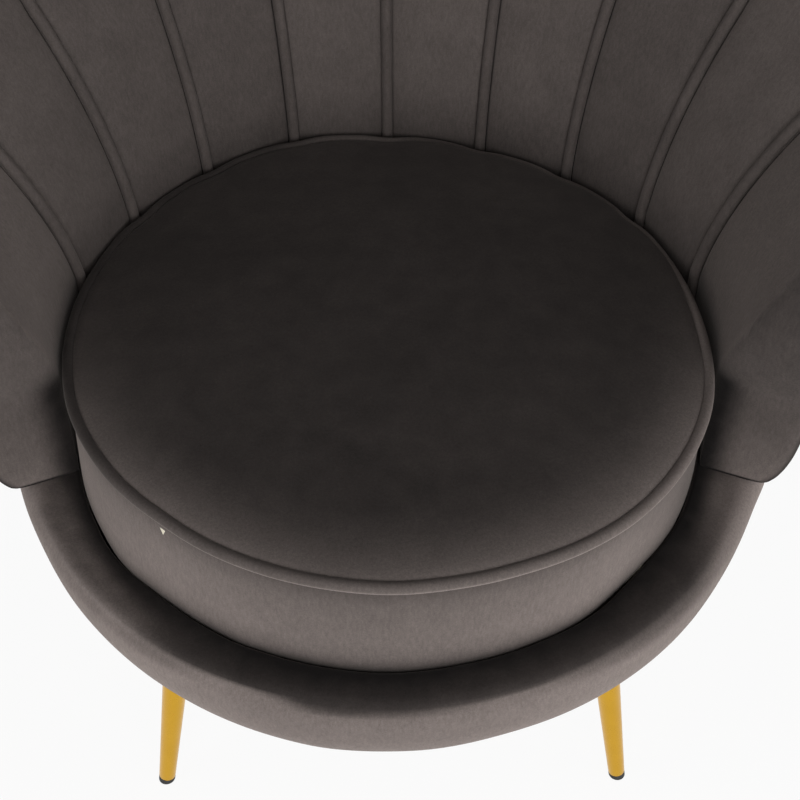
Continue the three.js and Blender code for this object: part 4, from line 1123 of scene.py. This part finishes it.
def band_rows():
    """Height and radius of the band's rows, from the top piping down."""
    top, low = TOP_PIPING_Z - BAND_END, LOW_PIPING_Z + BAND_END
    slot = ZIP_SLOT / 2
    near_slot = np.array([slot - ZIP_LIP, slot, slot + ZIP_LIP, slot + 2.5 * ZIP_LIP])
    turn = SEAM_ROUND * (1 - np.cos(np.linspace(0, math.pi / 2, 5)))
    field = np.linspace(ZIP_Z + near_slot[-1], top - SEAM_ROUND, 10)[1:-1]
    upper = np.concatenate([top - turn[:-1], [top - SEAM_ROUND], field[::-1], ZIP_Z + near_slot[::-1]])
    z = np.concatenate([upper, [ZIP_Z + slot / 2, ZIP_Z, ZIP_Z - slot / 2], (2 * ZIP_Z - upper)[::-1]])
    close = np.clip(np.minimum(top - z, z - low) / SEAM_ROUND, 0, 1)
    return z, CUSHION_RADIUS - PANEL_INSET * hollow(close)


def shaped_band(points, z, turned_in):
    """The band from cord to cord, bulging between them, with the bed of the zip pressed into its back."""
    radius, angle = around(points)
    at_zip = fade(np.abs(angle), ZIP_ARC / 2 - 0.02, ZIP_ARC / 2 + 0.25)
    up = np.clip((z - RIM_Z) / (TOP_PIPING_Z - RIM_Z), 0, 1)
    below = np.clip((RIM_Z - z) / (RIM_Z - LOW_PIPING_Z), 0, 1)
    bulge = BAND_BULGE * np.sin(math.pi * np.sqrt(up))
    bulge = np.clip(radius - CUSHION_RADIUS, 0, BAND_BULGE)
    upper, lower = CUSHION_RADIUS + MM * RING_DRIFT(angle), MM * MEETING(angle)
    free = lower + (upper - lower) * up - below * LOW_CORD_INSET + bulge - turned_in
    closed = CUSHION_RADIUS + BAND_REACH_ZIP - turned_in
    height = points[..., 2] - MM * RING_DROP(angle) * up
    bed = fade(np.abs(angle), ZIP_ARC / 2 - 0.012, ZIP_ARC / 2 + 0.012)
    bed = bed * fade(np.abs(z - ZIP_Z), ZIP_SLOT / 2 - ZIP_LIP / 2, ZIP_SLOT / 2 + ZIP_LIP / 2)
    radius = (free + (closed - free) * at_zip) * (1 - bed) + (CUSHION_RADIUS - ZIP_DEPTH) * bed
    return polar(radius, angle, np.where(at_zip > 0, z, height))


def cushion_mesh(x, y, index, ring):
    """Points of the upper panel, the band and the underside, their faces, and where the last two begin."""
    s = np.hypot(x, y)
    crown = CROWN_BEFORE_PUFF
    radius = CUSHION_RADIUS - PANEL_INSET
    top = disc_points(x, y, radius, AXIS_Y, TOP_PIPING_Z + PANEL_LIFT * CUSHION_PIPING + crown * (1 - s**4))
    under = disc_points(x, y, radius, AXIS_Y, DECK_Z + UNDER_GAP)
    z, band_radius = band_rows()
    band = polar(band_radius[None, :], np.arctan2(x[ring], y[ring])[:, None], z[None, :])
    columns, rows = band.shape[:2]
    start = len(top)
    low = start + columns * rows
    faces = disc_faces(index, low)
    faces += [tuple(start + i for i in f) for f in grid_faces(columns, rows, wrap_columns=True)]
    for i in range(columns):
        j = (i + 1) % columns
        first, last = start + i * rows, start + j * rows
        faces.append((ring[i], ring[j], last, first))
        faces.append((first + rows - 1, last + rows - 1, low + ring[j], low + ring[i]))
    return np.concatenate([top, band.reshape(-1, 3), under]), faces, start, low


def shaped_cushion(points, s, angle, start, low):
    """The blown up cushion with its edges drifted, its band shaped and its pressed and uneven places."""
    z, radius = band_rows()
    panel, band, under = points[:start], points[start:low].reshape(-1, len(z), 3), points[low:]
    panel[:, 2] = np.minimum(panel[:, 2], TOP_PIPING_Z + CUSHION_PIPING / 2 + CROWN_LIMIT * CUSHION_CROWN)
    panel = drifted(panel)
    panel[:, 2] += MM * PANEL_OVER(angle) * smooth_step(s, 0.8, 0.99)
    band = shaped_band(band, z, CUSHION_RADIUS - radius).reshape(-1, 3)
    under[:, :2] = [0, AXIS_Y] + (under[:, :2] - [0, AXIS_Y]) * (1 - 2 * LOW_CORD_INSET / CUSHION_RADIUS)
    points = pressed(np.concatenate([panel, band, under]))
    points[:start, 2] += wander(points[:start], 110 * MM, 1.2 * MM, 5) * fade(s, 0.8, 1.0)
    return points


def make_cushion_cover():
    x, y, index, ring = disc_grid(CUSHION_STEPS)
    s, angle = np.hypot(x, y), np.arctan2(x, y)
    verts, faces, start, low = cushion_mesh(x, y, index, ring)
    piece = new_piece("cushion_velvet", "velvet", verts, faces, CUSHION_BODY)
    rows = (low - start) // len(ring)
    ends = np.arange(start, low, rows)
    puff(piece, [*ring, *ends, *(ends + rows - 1), *range(low, len(verts))])
    points = shaped_cushion(coordinates(piece.data), s, angle, start, low)
    set_coordinates(piece.data, points)
    down = (TOP_PIPING_Z - points[:, 2]) / (TOP_PIPING_Z - RIM_Z)
    nap_and_painted_light = BAND_NAP_AND_LIGHT(around(points)[1]) * by_table(down, BAND_SHADE)
    nap_and_painted_light[:start] = PANEL_NAP + PANEL_EDGE_LIGHT(angle) * by_table(s, PANEL_SHADE)
    set_nap_and_painted_light(piece, nap_and_painted_light)
    fine = piece.modifiers.new("fine", "SUBSURF")
    fine.levels = fine.render_levels = 1
    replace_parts(piece, "cushion_cover")


def make_cushion_pipings():
    angle = all_round(RING_STEPS)
    upper = pressed(drifted(polar(CUSHION_RADIUS - 0.2 * MM, angle, TOP_PIPING_Z)))
    upper[:, 2] += wander(upper, 70 * MM, 0.8 * MM, 11)
    lower = polar(np.minimum(CUSHION_RADIUS, MM * MEETING(angle)) - LOW_CORD_INSET, angle, LOW_PIPING_Z)
    for name, path, radius in (("top", upper, CUSHION_PIPING), ("bottom", lower, LOW_CORD)):
        across = polar(1.0, angle, 0, 0)
        piece = cord(f"cushion_cord_{name}", path, radius, across, CUSHION_BODY, PIPING_SIDES, endless=True)
        lit = RING_LIT_ABOVE + (RING_LIT_BELOW - RING_LIT_ABOVE) * smooth_step(-slopes(piece), -0.2, 0.6)
        set_nap_and_painted_light(piece, RING_NAP_AND_LIGHT(np.repeat(angle, PIPING_SIDES)) * lit)
        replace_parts(piece, f"cushion_piping_{name}")


# Zip
ZIP_TAPE = 1.2 * MM
TAPE_GAP = 0.3 * MM
TAPE_END = 0.002
TAPE_COLUMNS = 160
TAPE_ROWS = 13
TAPE_BACK = CUSHION_RADIUS - 2 * MM
TAPE_FACE = TAPE_BACK + ZIP_TAPE
COIL_PITCH = 2.4 * MM
COIL_WIDTH = 5 * MM
COIL_THICK = 1.4 * MM
TOOTH_HOOK = 0.6 * MM  # each tooth reaches this far past the middle
TOOTH_SHARE = 0.38  # of the pitch
SLIDER_LENGTH = 12 * MM
SLIDER_WIDTH = 10 * MM
SLIDER_WALL = 1.4 * MM
SLIDER_CLEARANCE = 0.5 * MM
SLIDER_PARK = math.radians(62)
SLIDER_EDGE = 0.35 * MM
LUG_HEIGHT = 1.2 * MM
LUG_REACH = 3 * MM
PULL_LENGTH = 22 * MM
PULL_WIDTH = 5.5 * MM
PULL_THICK = 1.1 * MM
PULL_GAP = 0.1 * MM


def blocks(name, slot, corners, body):
    """Small closed solids, each from its eight corners: four of one end, then four of the other."""
    corners = np.asarray(corners).reshape(-1, 8, 3)
    sides = [(0, 1, 5, 4), (1, 2, 6, 5), (2, 3, 7, 6), (3, 0, 4, 7), (3, 2, 1, 0), (4, 5, 6, 7)]
    faces = [tuple(8 * k + i for i in f) for k in range(len(corners)) for f in sides]
    return new_piece(name, slot, corners.reshape(-1, 3), faces, body, smooth=False)


def arc_block(middle, reach, inner, outer, low, high):
    """The eight corners of a block on the band, its heights measured from the zip's middle."""
    section = ((inner, low), (outer, low), (outer, high), (inner, high))
    ends = (middle - reach, middle + reach)
    return [polar(radius, angle, ZIP_Z + z) for angle in ends for radius, z in section]


def make_zip_tape():
    half, reach = ZIP_SLOT / 2 - TAPE_GAP, ZIP_ARC / 2 - TAPE_END
    angle = np.linspace(-reach, reach, TAPE_COLUMNS)[:, None]
    rows = np.linspace(-half, half, TAPE_ROWS)
    z = np.concatenate([rows, rows[::-1]])[None, :] + ZIP_Z
    radius = np.repeat([TAPE_FACE, TAPE_BACK], TAPE_ROWS)[None, :]
    points = polar(radius, angle + 0 * z, z)
    count = 2 * TAPE_ROWS
    faces = grid_faces(TAPE_COLUMNS, count, wrap_rows=True)
    for base in (0, (TAPE_COLUMNS - 1) * count):
        end = base + count - 1
        faces += [(base + i, base + i + 1, end - i - 1, end - i) for i in range(TAPE_ROWS - 1)]
    tape = new_piece("zip_tape", "black_cloth", points.reshape(-1, 3), faces, CUSHION_BODY, ZIP_CLOTH)
    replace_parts(tape, "zip_chain")


def make_zip_teeth():
    count = int(ZIP_ARC * CUSHION_RADIUS / COIL_PITCH) - 2
    step = COIL_PITCH / CUSHION_RADIUS
    corners = []
    for i in range(count):
        middle = (i - (count - 1) / 2) * step
        for side, shift in ((-1, -step / 4), (1, step / 4)):
            low, high = sorted((-side * TOOTH_HOOK, side * COIL_WIDTH / 2))
            reach = TOOTH_SHARE / 2 * step
            corners.append(arc_block(middle + shift, reach, TAPE_FACE, TAPE_FACE + COIL_THICK, low, high))
    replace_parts(blocks("zip_teeth", "black_plastic", corners, CUSHION_BODY), "zip_chain")


def make_zip_slider():
    half, reach = SLIDER_WIDTH / 2, SLIDER_LENGTH / 2 / CUSHION_RADIUS
    bottom = TAPE_FACE + SLIDER_CLEARANCE
    inside = bottom + COIL_THICK
    top = inside + SLIDER_WALL
    slot = COIL_WIDTH / 2 + SLIDER_CLEARANCE
    pull = PULL_WIDTH / 2 / CUSHION_RADIUS
    corners = [
        arc_block(SLIDER_PARK, reach, inside, top, -half, half),
        arc_block(SLIDER_PARK, reach, bottom, inside, -half, -slot),
        arc_block(SLIDER_PARK, reach, bottom, inside, slot, half),
        arc_block(SLIDER_PARK, pull / 2, top, top + LUG_HEIGHT, -LUG_REACH, LUG_REACH),
        arc_block(SLIDER_PARK, pull, top + PULL_GAP, top + PULL_THICK, MM - PULL_LENGTH, -MM),
    ]
    slider = blocks("zip_runner", "steel", corners, SLIDER_BODY)
    soft = slider.modifiers.new("edges", "BEVEL")
    soft.width = SLIDER_EDGE
    soft.segments = 3
    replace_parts(slider, "zip_slider")


# Deck and dust cover
CLOTH_STEPS = 40
DECK_THICK = 0.9 * MM
DECK_SAG = 0.5 * MM
DUST_THICK = 0.7 * MM
DUST_SAG = 0.3 * MM
STAPLES = 60
STAPLE_LENGTH = 10 * MM
STAPLE_WIRE = 0.7 * MM
STAPLE_INSET = 7 * MM
STAPLE_SKEW = 0.25
STAPLE_DEPTH = 0.9 * MM


def width_of(node):
    low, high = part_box(node)
    return high[0] - low[0]


def make_cloth(name, node, centre, thick, sag, finish, seed):
    """A round cloth, stretched and a little slack."""
    radius, top_z = width_of(node) / 2, levels(node)[1]
    x, y, index, ring = disc_grid(CLOTH_STEPS)
    s = np.hypot(x, y)
    upper = disc_points(x, y, radius, centre, top_z - thick)
    slack = wander(upper, 80 * MM, sag / 2, seed) + sag / 2
    upper[:, 2] = top_z - sag * (1 - s**2) - slack * (1 - s**4)
    count = len(upper)
    faces = disc_faces(index, count)
    faces += [(a, b, count + b, count + a) for a, b in zip(ring, ring[1:] + ring[:1])]
    verts = np.concatenate([upper, upper - [0, 0, thick]])
    piece = new_piece(name, "black_cloth", verts, faces, finish=finish)
    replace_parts(piece, node)


def make_cloths():
    dust = FINISHES["black_cloth"]
    make_cloth("deck_cover", "deck_cloth", AXIS_Y, DECK_THICK, DECK_SAG, DECK_WEAVE, 21)
    make_cloth("dust_cloth", "dust_cover", BASE_Y, DUST_THICK, DUST_SAG, dust, 22)


def make_staples():
    """Staples that hold the dust cover to the bottom ring, seen from below."""
    radius = width_of("dust_cover") / 2 - STAPLE_INSET
    z = levels("dust_cover")[1] - DUST_THICK - STAPLE_DEPTH
    corners = []
    for k in range(STAPLES):
        angle = 2 * math.pi * (k + 0.5) / STAPLES
        turned = angle + STAPLE_SKEW * math.sin(k * 2.3)
        centre = polar(radius, angle, z, BASE_Y)
        along = np.array([math.cos(turned), -math.sin(turned), 0]) * STAPLE_LENGTH / 2
        across = np.array([math.sin(turned), math.cos(turned), 0]) * STAPLE_WIRE / 2
        up = np.array([0, 0, STAPLE_WIRE])
        for base in (centre - along, centre + along):
            corners += [base - across, base + across, base + across + up, base - across + up]
    blocks("dust_staples", "steel", corners, FRAME_BODY)


# Legs
LEG_ANGLES = {"front_right": 130.5, "front_left": -130.5, "back_right": 48, "back_left": -48}
LEG_RING_RADIUS = 236 * MM
LEG_SPLAY = math.radians(11.5)
LEG_TOP_Z = UNDER_Z + 4.7 * MM
LEG_START = 13.3 * MM
LEG_TOP_RADIUS = 14 * MM
LEG_FOOT_RADIUS = 7.8 * MM
LEG_WALL = 1.6 * MM
LEG_LIP = 1.2 * MM
LEG_PLUG = 4 * MM  # thickness of the tube's closed top
LEG_STEPS = 24
LIP_STEPS = 6
ROUND_STEPS = 48
STUD_RADIUS = 4 * MM
STUD_LENGTH = 26 * MM
STUD_END = 1 * MM
STUD_TURNS = 16
THREAD_DEPTH = 0.6 * MM
THREAD_RISE = 0.7 * MM
GLIDE_HEIGHT = 3 * MM
GLIDE_PLUG = 14 * MM
GLIDE_EDGE = 0.5 * MM
GLIDE_STEP = 0.6 * MM
GLIDE_DISH = 0.08
FIT = 0.3 * MM
LEG_END = (LEG_TOP_Z - GLIDE_HEIGHT) / math.cos(LEG_SPLAY) - LEG_FOOT_RADIUS * math.tan(LEG_SPLAY)


def leg_radius(distance):
    share = (distance - LEG_START) / (LEG_END - LEG_START)
    return LEG_TOP_RADIUS + (LEG_FOOT_RADIUS - LEG_TOP_RADIUS) * share


def rounded_end(distance, lip):
    """The tube's edge at one end, from the end's face to its side."""
    turns = np.linspace(math.pi / 2, 0, LIP_STEPS)
    radius = leg_radius(distance)
    return [(distance + lip * (1 - math.sin(a)), radius - LEG_LIP * (1 - math.cos(a))) for a in turns]


def leg_profile():
    """Distances down the leg's axis and radii: the threaded stud, the tube's outside and its inside."""
    start, root = LEG_START - STUD_LENGTH, STUD_RADIUS - THREAD_DEPTH
    profile = [(start, 0), (start, root)]
    for k in range(STUD_TURNS):
        distance = start + STUD_END + k * (STUD_LENGTH - 2 * STUD_END) / STUD_TURNS
        profile += [(distance, STUD_RADIUS), (distance + THREAD_RISE, root)]
    profile += [(LEG_START, STUD_RADIUS), *rounded_end(LEG_START, LEG_LIP)]
    shaft = np.linspace(LEG_START + 2 * LEG_LIP, LEG_END - 2 * LEG_LIP, LEG_STEPS)
    profile += [(distance, leg_radius(distance)) for distance in shaft]
    profile += rounded_end(LEG_END, -LEG_LIP)[::-1]
    foot, head = leg_radius(LEG_END) - LEG_WALL, leg_radius(LEG_START) - LEG_WALL
    return profile + [(LEG_END, foot), (LEG_START + LEG_PLUG, head), (LEG_START + LEG_PLUG, 0)]


def make_leg_tube(name, top, down, turns):
    """The tube turned about its axis, from the profile's first point on the axis to its last."""
    (first, _), *rings, (last, _) = leg_profile()
    verts = [top + down * first]
    verts += [top + down * distance + turn * radius for distance, radius in rings for turn in turns]
    verts.append(top + down * last)
    end = len(verts) - 1
    starts = range(1, end, ROUND_STEPS)
    faces = []
    for i in range(ROUND_STEPS):
        j = (i + 1) % ROUND_STEPS
        faces.append((0, 1 + i, 1 + j))
        faces += [(k + i, k + ROUND_STEPS + i, k + ROUND_STEPS + j, k + j) for k in starts[:-1]]
        faces.append((starts[-1] + i, end, starts[-1] + j))
    leg = new_piece(f"leg_tube_{name}", "gold_metal", verts, faces)
    leg.data.set_sharp_from_angle(angle=CRISP)
    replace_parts(leg, f"leg_{name}")


def make_glide(name, top, down, turns):
    """A plug in the tube, and a foot that is cut level with the floor."""
    plug = LEG_FOOT_RADIUS - LEG_WALL - FIT
    flange = LEG_END + FIT
    sizes = [(LEG_END - GLIDE_PLUG, plug), (flange, plug), (flange, LEG_FOOT_RADIUS - GLIDE_EDGE)]
    sizes.append((flange + GLIDE_STEP, LEG_FOOT_RADIUS))
    rings = [[top + down * distance + turn * radius for turn in turns] for distance, radius in sizes]
    floor = [p - down * ((p.z - GLIDE_STEP) / down.z) for p in rings[-1]]
    middle = sum(floor, Vector()) / ROUND_STEPS
    sole = [p.lerp(middle, GLIDE_DISH) for p in floor]
    rings += [floor, [Vector((p.x, p.y, 0)) for p in sole]]
    glide = loft(f"glide_{name}", "black_plastic", np.array(rings))
    glide.data.set_sharp_from_angle(angle=CRISP)
    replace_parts(glide, f"foot_glide_{name}")


def make_legs():
    for name, degrees in LEG_ANGLES.items():
        angle = math.radians(degrees)
        out = Vector((math.sin(angle), math.cos(angle), 0))
        side = Vector((math.cos(angle), -math.sin(angle), 0)).normalized()
        down = (out * math.sin(LEG_SPLAY) - Vector((0, 0, math.cos(LEG_SPLAY)))).normalized()
        front = down.cross(side)
        turns = [side * math.cos(a) + front * math.sin(a) for a in all_round(ROUND_STEPS, 0)]
        top = out * LEG_RING_RADIUS + Vector((0, BASE_Y, LEG_TOP_Z))
        make_leg_tube(name, top, down, turns)
        make_glide(name, top, down, turns)


make_back_covers()
make_back_strip()
make_back_pipings()
make_base_cover()
make_rim_foam()
make_cushion_cover()
make_cushion_pipings()
make_zip_tape()
make_zip_teeth()
make_zip_slider()
make_cloths()
make_staples()
make_legs()

# Stage
FLOOR_SIZE = 30.0
FLOOR_GREY = 0.92
FLOOR_GLOW = 0.93  # share of plain white in what the camera sees of the floor
WHITE = (1, 1, 1, 1)
LAMP_AIM = Vector((0, 0, 0.45))
LAMPS = {
    "key": {"place": (0.35, -3.0, 1.05), "size": 3.0, "power": 74},
    "left": {"place": (-2.8, -1.2, 1.1), "size": 2.0, "power": 24},
    "right": {"place": (2.8, -1.2, 1.1), "size": 2.0, "power": 24},
    "back": {"place": (0.0, 3.0, 1.0), "size": 1.8, "power": 14},
}
WORLD_LIGHT = 0.06


def make_floor():
    mesh = bpy.data.meshes.new("floor")
    h = FLOOR_SIZE / 2
    mesh.from_pydata([(-h, -h, 0), (h, -h, 0), (h, h, 0), (-h, h, 0)], [], [(0, 1, 2, 3)])
    floor = bpy.data.objects.new("floor", mesh)
    bpy.context.collection.objects.link(floor)
    n = new_finish("floor")
    mesh.materials.append(n.set(Base_Color=(FLOOR_GREY, FLOOR_GREY, FLOOR_GREY, 1), Roughness=0.9))
    glow = n.add("ShaderNodeEmission", {"Color": WHITE}).outputs[0]
    share = n.math("MULTIPLY", n.seen(), FLOOR_GLOW)
    blend = n.add("ShaderNodeMixShader", {0: share, 1: n.shader.outputs[0], 2: glow})
    n.feed(n.tree.nodes["Material Output"].inputs["Surface"], blend.outputs[0])


def make_lights():
    for name, lamp in LAMPS.items():
        data = bpy.data.lights.new(name, "AREA")
        data.size = lamp["size"]
        data.energy = lamp["power"]
        light = bpy.data.objects.new(name, data)
        light.location = lamp["place"]
        light.rotation_euler = (LAMP_AIM - light.location).to_track_quat("-Z", "Y").to_euler()
        bpy.context.collection.objects.link(light)


def make_world():
    n = Nodes(bpy.data.worlds.new("studio"), "Background")
    bpy.context.scene.world = n.set(Color=WHITE, Strength=n.remap(n.seen(), 0, 1, WORLD_LIGHT, 1))
    bpy.context.scene.view_settings.view_transform = "Standard"


make_floor()
make_lights()
make_world()
